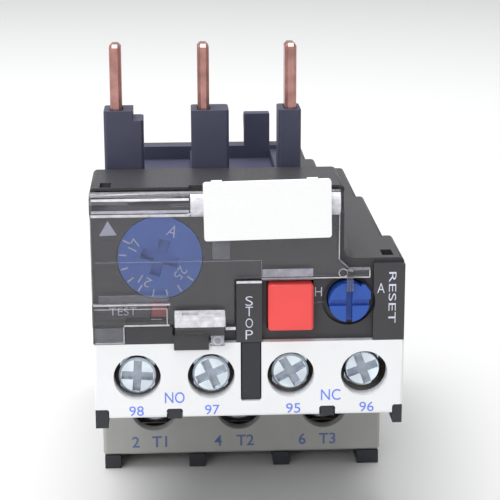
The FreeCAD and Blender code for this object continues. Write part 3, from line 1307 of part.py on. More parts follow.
make_front_cover()
make_middle_housing()
make_rear_housing()
make_main_terminal_block()
make_main_terminal_cover()
make_terminal_shroud()
make_aux_terminal_block()
make_pin_carrier()
for index in range(3):
    make_phase_conductor(index + 1, pin_places[index], bimetal_places[index])
    make_bimetal_strip(index + 1, bimetal_places[index])
    make_heater_winding(index + 1, bimetal_places[index])
    make_outlet_conductor(index + 1, pole_places[index], bimetal_places[index],
                          outlet_jogs[index])
    make_screw("main_screw_%d" % (index + 1), pole_places[index], s.pole_height,
               s.pole_head_depth, s.pole_turn * index, s.pole_head, s.pole_head_height,
               s.pole_shank, pole_shank_length)
    make_clamp("main_clamp_%d" % (index + 1), pole_places[index], s.pole_height,
               s.pole_head_depth + s.pole_head_height, pole_bay - 2 * s.pole_clamp_gap,
               s.pole_clamp_thickness, s.pole_shank)
for name, place, depth, turn in aux_terminals:
    make_aux_plate(name, place)
    make_screw("aux_screw_" + name, place, s.aux_height, depth, turn, s.aux_head,
               s.aux_head_height, s.aux_shank, s.aux_shank_length)
    make_clamp("aux_clamp_" + name, place, s.aux_height, depth + s.aux_head_height,
               s.aux_clamp_side, s.aux_clamp_thickness, s.aux_shank)
make_trip_parts()
make_contacts()
make_setting_dial()
make_buttons()
make_springs()
make_clear_cover()
make_label_plate()

doc.recompute()
for item in doc.Objects:
    if "Invalid" in item.State or "Error" in item.State:
        raise RuntimeError("%s could not be built: %s" % (item.Label, item.State))
for body in pieces:
    if body.Shape.isNull() or not body.Shape.isValid() or not body.Shape.Solids:
        raise RuntimeError("%s has no valid solid" % body.Label)

os.makedirs("parts", exist_ok=True)
for body in pieces:
    body.Shape.exportStep("parts/%s.step" % body.Label)
print("wrote %d pieces" % len(pieces))
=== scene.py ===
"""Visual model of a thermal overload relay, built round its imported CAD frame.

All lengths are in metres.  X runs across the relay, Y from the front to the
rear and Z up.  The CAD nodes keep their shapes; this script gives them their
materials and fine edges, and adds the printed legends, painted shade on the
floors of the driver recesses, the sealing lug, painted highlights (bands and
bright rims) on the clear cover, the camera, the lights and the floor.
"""
import math

import bpy
from mathutils import Matrix, Vector


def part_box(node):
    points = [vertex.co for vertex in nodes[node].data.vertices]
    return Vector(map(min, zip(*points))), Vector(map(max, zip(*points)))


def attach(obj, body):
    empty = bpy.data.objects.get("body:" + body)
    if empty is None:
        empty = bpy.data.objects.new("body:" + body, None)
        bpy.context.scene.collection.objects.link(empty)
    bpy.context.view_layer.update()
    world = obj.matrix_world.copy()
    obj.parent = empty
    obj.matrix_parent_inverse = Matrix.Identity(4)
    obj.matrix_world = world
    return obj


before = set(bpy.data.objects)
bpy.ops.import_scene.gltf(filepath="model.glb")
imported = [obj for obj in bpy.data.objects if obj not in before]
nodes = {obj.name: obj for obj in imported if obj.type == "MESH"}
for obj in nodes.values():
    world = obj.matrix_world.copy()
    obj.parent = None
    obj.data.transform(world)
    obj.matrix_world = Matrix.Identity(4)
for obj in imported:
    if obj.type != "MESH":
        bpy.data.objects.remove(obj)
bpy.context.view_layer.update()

MM = 0.001
PRINT_DEPTH = 0.02 * MM      # how far printed legends stand out of their face

COVER_SKIN = 0.03 * MM       # thickness of the painted highlight bands and rims
FLOOR_SKIN = 0.03 * MM       # thickness of the painted shade on a recess floor
WELD_REACH = 0.002 * MM      # points of a CAD node closer than this become one

# planes and centres that the legends and bands are set against
front_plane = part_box("terminal_shroud")[0].y
face_plane = front_plane + 1.2 * MM
dial_low, dial_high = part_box("setting_dial")
dial_centre = (dial_low + dial_high) / 2
dial_radius = (dial_high.x - dial_low.x) / 2
dial_face = dial_low.y
grey_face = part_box("main_terminal_cover")[0].y
PANE_FACE = front_plane - 0.1 * MM
WINDOW_FACE = front_plane - 0.8 * MM
LUG_FACE = front_plane - 1.4 * MM

# the hinge ridge of the clear cover, in millimetres
RIDGE_DEPTH = 0.2            # axis behind the front plane
RIDGE_HEIGHT = 50.2          # axis above the table
RIDGE_RADIUS = 1.8


# ---------------------------------------------------------------- materials

class Nodes:
    """A short way to build one material's node tree."""

    def __init__(self, name):
        """Start an empty tree with an output and object coordinates."""
        self.material = bpy.data.materials.new(name)
        self.material.use_nodes = True
        self.tree = self.material.node_tree
        self.tree.nodes.clear()
        self.output = self.add("ShaderNodeOutputMaterial")
        self.place = self.add("ShaderNodeTexCoord").outputs["Object"]

    def add(self, kind, **values):
        """Add a node; values set its properties or its input sockets."""
        node = self.tree.nodes.new(kind)
        for key, value in values.items():
            if hasattr(node, key):
                setattr(node, key, value)
            else:
                node.inputs[key.replace("_", " ")].default_value = value
        return node

    def link(self, start, end):
        """Join an output socket to an input socket."""
        self.tree.links.new(start, end)

    def noise(self, scale, detail=2.0, roughness=0.5, stretch=(1, 1, 1)):
        """Noise in object space; scale is in features per metre."""
        mapping = self.add("ShaderNodeMapping")
        mapping.inputs["Scale"].default_value = stretch
        self.link(self.place, mapping.inputs["Vector"])
        texture = self.add("ShaderNodeTexNoise", Scale=scale, Detail=detail,
                           Roughness=roughness)
        self.link(mapping.outputs["Vector"], texture.inputs["Vector"])
        return texture.outputs["Fac"]

    def range(self, value, low, high, start=0.3, end=0.7):
        """Map a value from start..end to low..high."""
        node = self.add("ShaderNodeMapRange")
        self.link(value, node.inputs["Value"])
        node.inputs["From Min"].default_value = start
        node.inputs["From Max"].default_value = end
        node.inputs["To Min"].default_value = low
        node.inputs["To Max"].default_value = high
        return node.outputs["Result"]

    def blend(self, factor, first, second):
        """Mix two colours, given as triples or sockets."""
        node = self.add("ShaderNodeMix", data_type="RGBA")
        self.link(factor, node.inputs["Factor"])
        for socket, colour in ((node.inputs[6], first), (node.inputs[7], second)):
            if isinstance(colour, tuple):
                socket.default_value = (*colour, 1.0)
            else:
                self.link(colour, socket)
        return node.outputs[2]

    def bump(self, height, depth):
        """Turn a height into a surface normal; depth is in metres."""
        node = self.add("ShaderNodeBump", Strength=1.0, Distance=depth)
        self.link(height, node.inputs["Height"])
        return node.outputs["Normal"]

    def principled(self, **values):
        """Add the general surface shader."""
        return self.add("ShaderNodeBsdfPrincipled", **values)

    def finish(self, shader):
        """Send a shader to the output and give back the material."""
        self.link(shader, self.output.inputs["Surface"])
        return self.material


def shade(colour, share):
    """The colour made lighter or darker by a share."""
    return tuple(min(1.0, channel * share) for channel in colour)


def plastic(name, colour, roughness, grain=0.012, mottle=0.06, grain_scale=5200.0,
            spread=0.08):
    """Moulded plastic: faint mottling, a fine spark-eroded grain and uneven gloss."""
    tree = Nodes(name)
    cloud = tree.noise(260.0, detail=3.0)
    base = tree.blend(tree.range(cloud, 0.0, 1.0), shade(colour, 1.0 - mottle),
                      shade(colour, 1.0 + mottle))
    fine = tree.noise(grain_scale, detail=2.0, roughness=0.6)
    body = tree.principled()
    tree.link(base, body.inputs["Base Color"])
    tree.link(tree.range(fine, roughness - spread, roughness + spread),
              body.inputs["Roughness"])
    tree.link(tree.bump(fine, grain * MM), body.inputs["Normal"])
    return tree.finish(body.outputs["BSDF"])


def metal(name, colour, roughness, streak=(1, 1, 1), scale=900.0, depth=0.01, tint=0.12):
    """Bare or plated metal with fine streaks and slightly uneven colour."""
    tree = Nodes(name)
    cloud = tree.noise(scale * 0.35, detail=3.0)
    base = tree.blend(tree.range(cloud, 0.0, 1.0), shade(colour, 1.0 - tint),
                      shade(colour, 1.0 + tint))
    fine = tree.noise(scale, detail=4.0, stretch=streak)
    body = tree.principled(Metallic=1.0)
    tree.link(base, body.inputs["Base Color"])
    tree.link(tree.range(fine, roughness * 0.7, roughness * 1.35), body.inputs["Roughness"])
    tree.link(tree.bump(fine, depth * MM), body.inputs["Normal"])
    return tree.finish(body.outputs["BSDF"])


def clear(name, haze, edge_highlight, colour, roughness=0.06):
    """Clear moulding: see-through faces, a glossy skin, and milky side faces that are a painted
    highlight on the cut edges.
    """
    tree = Nodes(name)
    normal = tree.add("ShaderNodeNewGeometry").outputs["True Normal"]
    split = tree.add("ShaderNodeSeparateXYZ")
    tree.link(normal, split.inputs["Vector"])
    facing = tree.add("ShaderNodeMath", operation="ABSOLUTE")
    tree.link(split.outputs["Y"], facing.inputs[0])
    # Faces turned away from the front turn milky: painted highlight on the cut edges.
    edge = tree.range(facing.outputs[0], edge_highlight, haze, start=0.05, end=0.5)
    dust = tree.range(tree.noise(1500.0, detail=5.0, roughness=0.7), 0.7, 1.5)
    cover = tree.add("ShaderNodeMath", operation="MULTIPLY", use_clamp=True)
    tree.link(edge, cover.inputs[0])
    tree.link(dust, cover.inputs[1])
    window = tree.add("ShaderNodeBsdfTransparent")
    window.inputs["Color"].default_value = (0.93, 0.93, 0.95, 1.0)
    milk = tree.principled(Roughness=0.35)
    milk.inputs["Base Color"].default_value = (*colour, 1.0)
    inner = tree.add("ShaderNodeMixShader")
    tree.link(cover.outputs[0], inner.inputs["Fac"])
    tree.link(window.outputs[0], inner.inputs[1])
    tree.link(milk.outputs[0], inner.inputs[2])
    gloss = tree.add("ShaderNodeBsdfGlossy", Roughness=roughness)
    waves = tree.noise(420.0, detail=2.0)
    wavy = tree.bump(waves, 0.03 * MM)
    tree.link(wavy, gloss.inputs["Normal"])
    fresnel = tree.add("ShaderNodeFresnel", IOR=1.5)
    tree.link(wavy, fresnel.inputs["Normal"])
    skin = tree.add("ShaderNodeMixShader")
    tree.link(fresnel.outputs[0], skin.inputs["Fac"])
    tree.link(inner.outputs[0], skin.inputs[1])
    tree.link(gloss.outputs[0], skin.inputs[2])
    return tree.finish(skin.outputs[0])


def frost_and_highlight(name, colour, cover):
    """A milky band that lets part of the light through: the frosted finish of the sealing lug,
    and the painted highlights on the clear cover.
    """
    tree = Nodes(name)
    cloud = tree.noise(900.0, detail=4.0, roughness=0.65)
    milk = tree.principled(Roughness=0.4)
    tree.link(tree.blend(tree.range(cloud, 0.0, 1.0), shade(colour, 0.85), colour),
              milk.inputs["Base Color"])
    window = tree.add("ShaderNodeBsdfTransparent")
    mix = tree.add("ShaderNodeMixShader")
    tree.link(tree.range(cloud, cover * 0.8, min(1.0, cover * 1.2)), mix.inputs["Fac"])
    tree.link(window.outputs[0], mix.inputs[1])
    tree.link(milk.outputs[0], mix.inputs[2])
    return tree.finish(mix.outputs[0])


BLACK = plastic("black_plastic", (0.021, 0.022, 0.030), 0.44, grain=0.014)
# Lighter copy of the black plastic for the housings: its raised colour is painted sheen of the
# glossy top faces.
BLACK_SHEEN_PAINTED = plastic("black_plastic_painted_sheen", (0.040, 0.039, 0.044), 0.38, grain=0.010)
BLACK_TOWER = plastic("black_plastic_tower", (0.048, 0.050, 0.090), 0.50, grain=0.014)
WHITE = plastic("white_plastic", (0.84, 0.845, 0.86), 0.34, grain=0.006, mottle=0.012)
LABEL = plastic("label_white", (0.90, 0.90, 0.90), 0.30, grain=0.003, mottle=0.008)
GREY = plastic("grey_plastic", (0.37, 0.37, 0.355), 0.48, grain=0.012, mottle=0.04)
DIAL = plastic("dial_blue", (0.060, 0.18, 0.62), 0.40, grain=0.008)
# Painted shade for the floor of the dial's driver recess.
RECESS_PAINTED_SHADE = plastic("dial_recess_painted_shade", (0.012, 0.030, 0.110), 0.5, grain=0.006)
KNOB = plastic("knob_blue", (0.016, 0.080, 0.40), 0.32, grain=0.005)
STOP = plastic("stop_red", (0.86, 0.075, 0.070), 0.36, grain=0.004, mottle=0.02)
TEST = plastic("test_red", (0.48, 0.050, 0.070), 0.38, grain=0.004)
NATURAL = plastic("slide_plastic", (0.36, 0.31, 0.22), 0.45)
ZINC = metal("zinc_plate", (0.70, 0.77, 0.86), 0.17, scale=650.0, depth=0.05, tint=0.22)
STEEL = metal("spring_steel", (0.55, 0.56, 0.58), 0.30, scale=1600.0)
BRASS = metal("contact_brass", (0.72, 0.55, 0.27), 0.28, scale=1600.0)
# Painted shade: the zinc aux plates under the screw heads are given a near-black colour for the
# shadow there.
PLATE_PAINTED_SHADE = metal("terminal_plate_painted_shade", (0.13, 0.12, 0.115), 0.42, scale=1600.0)
# Painted shade for the floors of the screws' cross recesses.
SLOT_PAINTED_SHADE = metal("driver_slot", (0.36, 0.40, 0.46), 0.45, scale=1400.0, depth=0.05)
COPPER = metal("copper", (0.53, 0.28, 0.25), 0.33, streak=(3, 3, 0.25), scale=1500.0,
               tint=0.2)
BIMETAL = metal("bimetal", (0.45, 0.42, 0.36), 0.32, streak=(3, 3, 0.3), scale=1500.0)
HEATER = metal("heater_strip", (0.48, 0.46, 0.42), 0.36, scale=1800.0)
CLEAR = clear("clear_plastic", 0.012, 0.30, (0.80, 0.79, 0.86))
# Painted highlight materials for the clear cover; the brightest one also serves the frosted
# sealing lug.
HIGHLIGHT_MILD = frost_and_highlight("painted_highlight_mild", (0.70, 0.69, 0.80), 0.42)
HIGHLIGHT_FAINT = frost_and_highlight("painted_highlight_faint", (0.50, 0.50, 0.58), 0.20)
FROST_AND_HIGHLIGHT_BRIGHT = frost_and_highlight("frosted_and_highlight_bright", (0.90, 0.89, 0.94), 0.78)
RIM_HIGHLIGHT = frost_and_highlight("painted_rim_highlight", (0.86, 0.84, 0.86), 0.62)
RIM_HIGHLIGHT_FAINT = frost_and_highlight("painted_rim_highlight_faint", (0.55, 0.54, 0.58), 0.32)
PRINT_WHITE = plastic("print_white", (0.66, 0.68, 0.80), 0.5, grain=0.002, mottle=0.06)
PRINT_BLUE = plastic("print_blue", (0.16, 0.25, 0.82), 0.5, grain=0.002, mottle=0.06)
PRINT_SLATE = plastic("print_slate", (0.10, 0.15, 0.31), 0.5, grain=0.002, mottle=0.08)

FINISHES = {
    "front_cover": BLACK_SHEEN_PAINTED, "middle_housing": BLACK_SHEEN_PAINTED, "rear_housing": BLACK_SHEEN_PAINTED,
    "main_terminal_block": BLACK, "aux_terminal_block": BLACK, "pin_carrier": BLACK_TOWER,
    "contact_carrier": BLACK, "mechanism_chassis": BLACK, "compensating_lever": BLACK,
    "terminal_shroud": WHITE, "label_plate": LABEL, "main_terminal_cover": GREY,
    "clear_cover": CLEAR, "setting_dial": DIAL, "setting_cam": DIAL,
    "reset_knob": KNOB, "reset_plunger": KNOB, "stop_button": STOP, "test_button": TEST,
    "trip_slide": NATURAL, "differential_slide": NATURAL, "trip_latch": NATURAL,
    "adjusting_slider": NATURAL, "lever_pin": STEEL, "stop_spring": STEEL,
    "reset_spring": STEEL, "contact_bridge_open": BRASS, "contact_bridge_closed": BRASS,
    "phase_conductor": COPPER, "outlet_conductor": COPPER, "bimetal_strip": BIMETAL,
    "heater_winding": HEATER, "main_screw": ZINC, "main_clamp": ZINC,
    "aux_plate": PLATE_PAINTED_SHADE, "aux_screw": ZINC, "aux_clamp": ZINC,
}
EDGES = {
    "front_cover": 0.22, "middle_housing": 0.3, "rear_housing": 0.3,
    "main_terminal_block": 0.25, "aux_terminal_block": 0.15, "pin_carrier": 0.2,
    "terminal_shroud": 0.12, "label_plate": 0.1, "main_terminal_cover": 0.15,
    "clear_cover": 0.12, "setting_dial": 0.12, "reset_knob": 0.14, "stop_button": 0.1,
    "test_button": 0.08, "aux_screw": 0.14, "main_screw": 0.16,
}


def family(name):
    """The name of a node without its number."""
    return name if name in FINISHES else name.rsplit("_", 1)[0]


def soften(piece, width):
    """Round the hard edges of a piece a little, so that they catch the light."""
    weld = piece.modifiers.new("weld", "WELD")
    weld.merge_threshold = WELD_REACH
    bevel = piece.modifiers.new("edges", "BEVEL")
    bevel.width = width
    bevel.segments = 2
    bevel.limit_method = "ANGLE"
    bevel.angle_limit = math.radians(40)
    bevel.use_clamp_overlap = True
    bevel.harden_normals = True


def join_flat_faces(piece):
    """Make one face of the triangles of each flat face, so that it shades evenly."""
    weld = piece.modifiers.new("weld_faces", "WELD")
    weld.merge_threshold = WELD_REACH
    join = piece.modifiers.new("flat_faces", "DECIMATE")
    join.decimate_type = "DISSOLVE"
    join.angle_limit = math.radians(0.5)


def dress_nodes():
    """Give each CAD node its material and fine edges."""
    for name, piece in nodes.items():
        kind = family(name)
        piece.data.materials.clear()
        piece.data.materials.append(FINISHES[kind])
        if kind == "main_terminal_cover":
            join_flat_faces(piece)
        if kind in EDGES:
            soften(piece, EDGES[kind] * MM)


# ------------------------------------------------------------ added pieces

def add_piece(name, mesh, material, body):
    """Put a mesh in the scene as a piece that rides on a body."""
    piece = bpy.data.objects.new(name, mesh)
    bpy.context.scene.collection.objects.link(piece)
    mesh.materials.clear()
    mesh.materials.append(material)
    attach(piece, body)
    return piece


def plate(name, outline, rear, thickness, material, body):
    """A thin plate from an outline of (x, z) points, its rear face at Y = rear."""
    count = len(outline)
    front = rear - thickness
    points = [(x, front, z) for x, z in outline] + [(x, rear, z) for x, z in outline]
    faces = [tuple(range(count)), tuple(range(2 * count - 1, count - 1, -1))]
    for start in range(count):
        end = (start + 1) % count
        faces.append((start, start + count, end + count, end))
    mesh = bpy.data.meshes.new(name)
    mesh.from_pydata(points, [], faces)
    mesh.update()
    add_piece(name, mesh, material, body)


def box_outline(left, right, low, high):
    """The corners of an upright box."""
    return [(left, low), (right, low), (right, high), (left, high)]


def legend(name, words, place, face, height, material, body,
           turn=0.0, width=None, thin=0.0):
    """Printed words, centred on place = (x, z), read from the front and turned."""
    curve = bpy.data.curves.new(name, "FONT")
    curve.body = words
    curve.size = 1.0
    curve.extrude = 0.01
    curve.offset = -thin
    curve.resolution_u = 4
    curve.align_x = "LEFT"
    holder = bpy.data.objects.new(name, curve)
    bpy.context.scene.collection.objects.link(holder)
    bpy.context.view_layer.update()
    mesh = bpy.data.meshes.new_from_object(holder)
    bpy.data.objects.remove(holder)
    bpy.data.curves.remove(curve)
    mesh.name = name
    low = Vector([min(v.co[axis] for v in mesh.vertices) for axis in range(3)])
    high = Vector([max(v.co[axis] for v in mesh.vertices) for axis in range(3)])
    span = high - low
    tall = height / span.y
    wide = width / span.x if width else tall
    deep = PRINT_DEPTH / span.z
    stand = Matrix.Rotation(math.radians(90), 4, "X")
    spin = Matrix.Rotation(math.radians(turn), 4, Vector((0, -1, 0)))
    seat = Matrix.Translation(Vector((place[0], face - PRINT_DEPTH / 2, place[1])))
    mesh.transform(seat @ spin @ stand @ Matrix.Diagonal((wide, tall, deep, 1.0))
                   @ Matrix.Translation(-(low + high) / 2))
    add_piece(name, mesh, material, body)


def polar(centre, radius, degrees):
    """The (x, z) point at a radius and angle from a centre."""
    angle = math.radians(degrees)
    return (centre.x + radius * math.cos(angle), centre.z + radius * math.sin(angle))


def dial_print():
    """Ticks and numbers on the dial, their tops towards the rim."""
    ticks = (153, 175, 197, 217, 237, 259, 280, 301, 324)
    for number, angle in enumerate(ticks, start=1):
        inner = dial_radius - 1.25 * MM
        outer = dial_radius - 0.2 * MM
        half = 0.11 * MM
        run = Vector((math.cos(math.radians(angle)), math.sin(math.radians(angle))))
        side = Vector((-run.y, run.x)) * half
        middle = Vector((dial_centre.x, dial_centre.z))
        corners = [middle + run * inner - side, middle + run * outer - side,
                   middle + run * outer + side, middle + run * inner + side]
        plate("dial_tick_%d" % number, [tuple(c) for c in corners], dial_face, PRINT_DEPTH,
              PRINT_WHITE, "dial")
    for words, angle, radius, height, width in (
            ("17", 151, 4.0, 1.35, 1.65), ("21", 238, 4.05, 1.35, 1.75),
            ("25", 322, 3.68, 1.35, 1.8), ("A", 64.5, 4.3, 1.7, 1.3)):
        legend("dial_number_" + words, words, polar(dial_centre, radius * MM, angle),
               dial_face, height * MM, PRINT_WHITE, "dial",
               turn=angle - 90, width=width * MM, thin=0.006)


def cross_outline(centre, half, reach, degrees):
    """The corners of a cross recess turned by an angle."""
    corner = ((reach, -half), (reach, half), (half, half), (half, reach), (-half, reach),
              (-half, half), (-reach, half), (-reach, -half), (-half, -half),
              (-half, -reach), (half, -reach), (half, -half))
    spin = Matrix.Rotation(math.radians(degrees), 2)
    return [tuple(Vector(centre) + spin @ Vector(c) * MM) for c in corner]


def recess_painted_shade():
    """Painted shade: dark plates laid on the floors of the driver recesses in the dial and the
    small screws.
    """
    arm_half, arm_reach, dial_turned = 0.72, 2.66, -17.0
    dial_recess_depth = 1.4 * MM
    plate("dial_recess_painted_shade",
          cross_outline((dial_centre.x, dial_centre.z), arm_half, arm_reach, dial_turned),
          dial_face + dial_recess_depth, FLOOR_SKIN, RECESS_PAINTED_SHADE, "dial")
    slot_half, slot_share, slot_play = 0.57, 0.85, 0.05
    slot_depth = 0.7 * MM
    for name, degrees in (("98", -4.0), ("97", 24.0), ("95", 30.0), ("96", 20.0)):
        low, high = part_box("aux_screw_" + name)
        centre = ((low.x + high.x) / 2, (low.z + high.z) / 2)
        reach = (high.x - low.x) / 2 / MM * slot_share - slot_play
        plate("screw_recess_shade_" + name, cross_outline(centre, slot_half, reach, degrees),
              low.y + slot_depth, FLOOR_SKIN, SLOT_PAINTED_SHADE, "aux_screw_" + name)


def face_print():
    """Legends on the black front moulding."""
    for letter, height in zip("STOP", (35.9, 34.35, 32.6, 30.85)):
        legend("stop_letter_" + letter, letter, (0.0, height * MM), front_plane, 1.4 * MM,
               PRINT_WHITE, "relay", width=1.05 * MM, thin=0.012)
    legend("reset_word", "RESET", (20.5 * MM, 36.05 * MM), front_plane, 1.05 * MM,
           PRINT_WHITE, "relay", turn=-90, width=7.6 * MM, thin=0.006)
    legend("hand_letter", "H", (10.0 * MM, 36.75 * MM), face_plane, 1.35 * MM,
           PRINT_WHITE, "relay", width=1.0 * MM, thin=0.01)
    legend("auto_letter", "A", (18.85 * MM, 37.5 * MM), front_plane, 1.45 * MM,
           PRINT_WHITE, "relay", width=1.05 * MM, thin=0.01)
    plate("hand_line", box_outline(9.4 * MM, 10.75 * MM, 35.15 * MM, 35.25 * MM),
          face_plane, PRINT_DEPTH, RIM_HIGHLIGHT_FAINT, "relay")
    legend("test_word", "TEST", (-18.0 * MM, 34.3 * MM), face_plane, 1.2 * MM,
           PRINT_WHITE, "relay", width=3.9 * MM, thin=0.006)
    plate("test_line", box_outline(-14.0 * MM, -12.5 * MM, 32.95 * MM, 33.1 * MM),
          face_plane, PRINT_DEPTH, PRINT_WHITE, "relay")
    plate("pointer_mark", [(-21.1 * MM, 45.5 * MM), (-18.6 * MM, 45.55 * MM),
                           (-19.85 * MM, 47.65 * MM)], face_plane, PRINT_DEPTH,
          PRINT_WHITE, "relay")


def terminal_print():
    """Terminal numbers on the white shroud and the grey cover."""
    for words, across, height, tall, width in (
            ("98", -16.35, 19.55, 1.5, 2.1), ("97", -5.4, 19.55, 1.5, 2.1),
            ("95", 6.35, 19.55, 1.5, 2.1), ("96", 17.05, 19.55, 1.5, 2.1),
            ("NO", -10.8, 21.5, 1.7, 2.85), ("NC", 11.8, 21.5, 1.7, 2.85)):
        legend("terminal_" + words, words, (across * MM, height * MM), front_plane,
               tall * MM, PRINT_BLUE, "relay", width=width * MM,
               thin=-0.004)
    for words, across in (("2", -17.25), ("T1", -13.4), ("4", -3.9), ("T2", 0.5),
                          ("6", 9.8), ("T3", 13.9)):
        legend("pole_" + words, words, (across * MM, 4.5 * MM), grey_face, 1.9 * MM,
               PRINT_SLATE, "relay", thin=-0.012)


def cover_line(name, start, end, width, face, material):
    """A thin painted highlight line on the clear cover between two (x, z) points in mm."""
    run = (Vector(end) - Vector(start)).normalized()
    side = Vector((-run.y, run.x)) * width / 2
    corners = [Vector(start) - side, Vector(end) - side, Vector(end) + side,
               Vector(start) + side]
    plate(name, [tuple(c * MM) for c in corners], face, COVER_SKIN, material,
          "clear_cover")


def cover_ring(name, centre, radius, width, face, material):
    """A thin painted highlight ring on the clear cover."""
    count = 28
    mesh = bpy.data.meshes.new(name)
    points, faces = [], []
    for number in range(count):
        angle = 2 * math.pi * number / count
        for reach in (radius - width / 2, radius + width / 2):
            for depth in (face - COVER_SKIN, face):
                points.append((centre[0] * MM + reach * MM * math.cos(angle), depth,
                               centre[1] * MM + reach * MM * math.sin(angle)))
        here, there = 4 * number, 4 * ((number + 1) % count)
        for first, second in ((0, 2), (2, 3), (3, 1), (1, 0)):
            faces.append((here + first, here + second, there + second, there + first))
    mesh.from_pydata(points, [], faces)
    mesh.update()
    add_piece(name, mesh, material, "clear_cover")


def ridge_highlight_strip(name, left, right, low, high, material):
    """A painted highlight strip that follows the round ridge of the clear cover."""
    steps = 8
    mesh = bpy.data.meshes.new(name)
    points, faces = [], []
    for number in range(steps + 1):
        height = (low + (high - low) * number / steps - RIDGE_HEIGHT) * MM
        for radius in (RIDGE_RADIUS * MM, RIDGE_RADIUS * MM + COVER_SKIN):
            depth = front_plane + RIDGE_DEPTH * MM - math.sqrt(radius ** 2 - height ** 2)
            for across in (left * MM, right * MM):
                points.append((across, depth, RIDGE_HEIGHT * MM + height))
    for number in range(steps):
        here, there = 4 * number, 4 * (number + 1)
        faces += [(here, here + 1, there + 1, there), (here + 2, there + 2, there + 3, here + 3),
                  (here, there, there + 2, here + 2), (here + 1, here + 3, there + 3, there + 1)]
    last = 4 * steps
    faces += [(0, 2, 3, 1), (last, last + 1, last + 3, last + 2)]
    mesh.from_pydata(points, [], faces)
    mesh.update()
    add_piece(name, mesh, material, "clear_cover")


def seal_eye():
    """The frosted sealing lug that stands out of the clear cover, with its wire hole."""
    rear, front = PANE_FACE, front_plane - 2.4 * MM
    hole_rear, hole_front = front_plane - 0.6 * MM, front_plane - 1.4 * MM
    left, right, hole_left, hole_right = (x * MM for x in (-10.65, -3.45, -9.55, -7.35))
    fall = 0.226                       # the top slopes down towards the front

    def corner(x, y, upper):
        """A corner of the top or the underside, which slope alike."""
        level = 34.7 if upper else 33.35
        return (x, y, level * MM - fall * (rear - y))

    outer = [(left, front), (right, front), (right, rear), (left, rear)]
    inner = [(hole_left, hole_front), (hole_right, hole_front), (hole_right, hole_rear),
             (hole_left, hole_rear)]
    points = [corner(x, y, upper) for upper in (True, False)
              for ring in (outer, inner) for x, y in ring]
    faces = []
    for number in range(4):
        after = (number + 1) % 4
        faces += [(number, after, after + 4, number + 4),
                  (number + 8, number + 12, after + 12, after + 8),
                  (number, number + 8, after + 8, after),
                  (number + 4, after + 4, after + 12, number + 12)]
    mesh = bpy.data.meshes.new("seal_eye")
    mesh.from_pydata(points, [], faces)
    mesh.update()
    piece = add_piece("seal_eye", mesh, FROST_AND_HIGHLIGHT_BRIGHT, "clear_cover")
    soften(piece, 0.12 * MM)


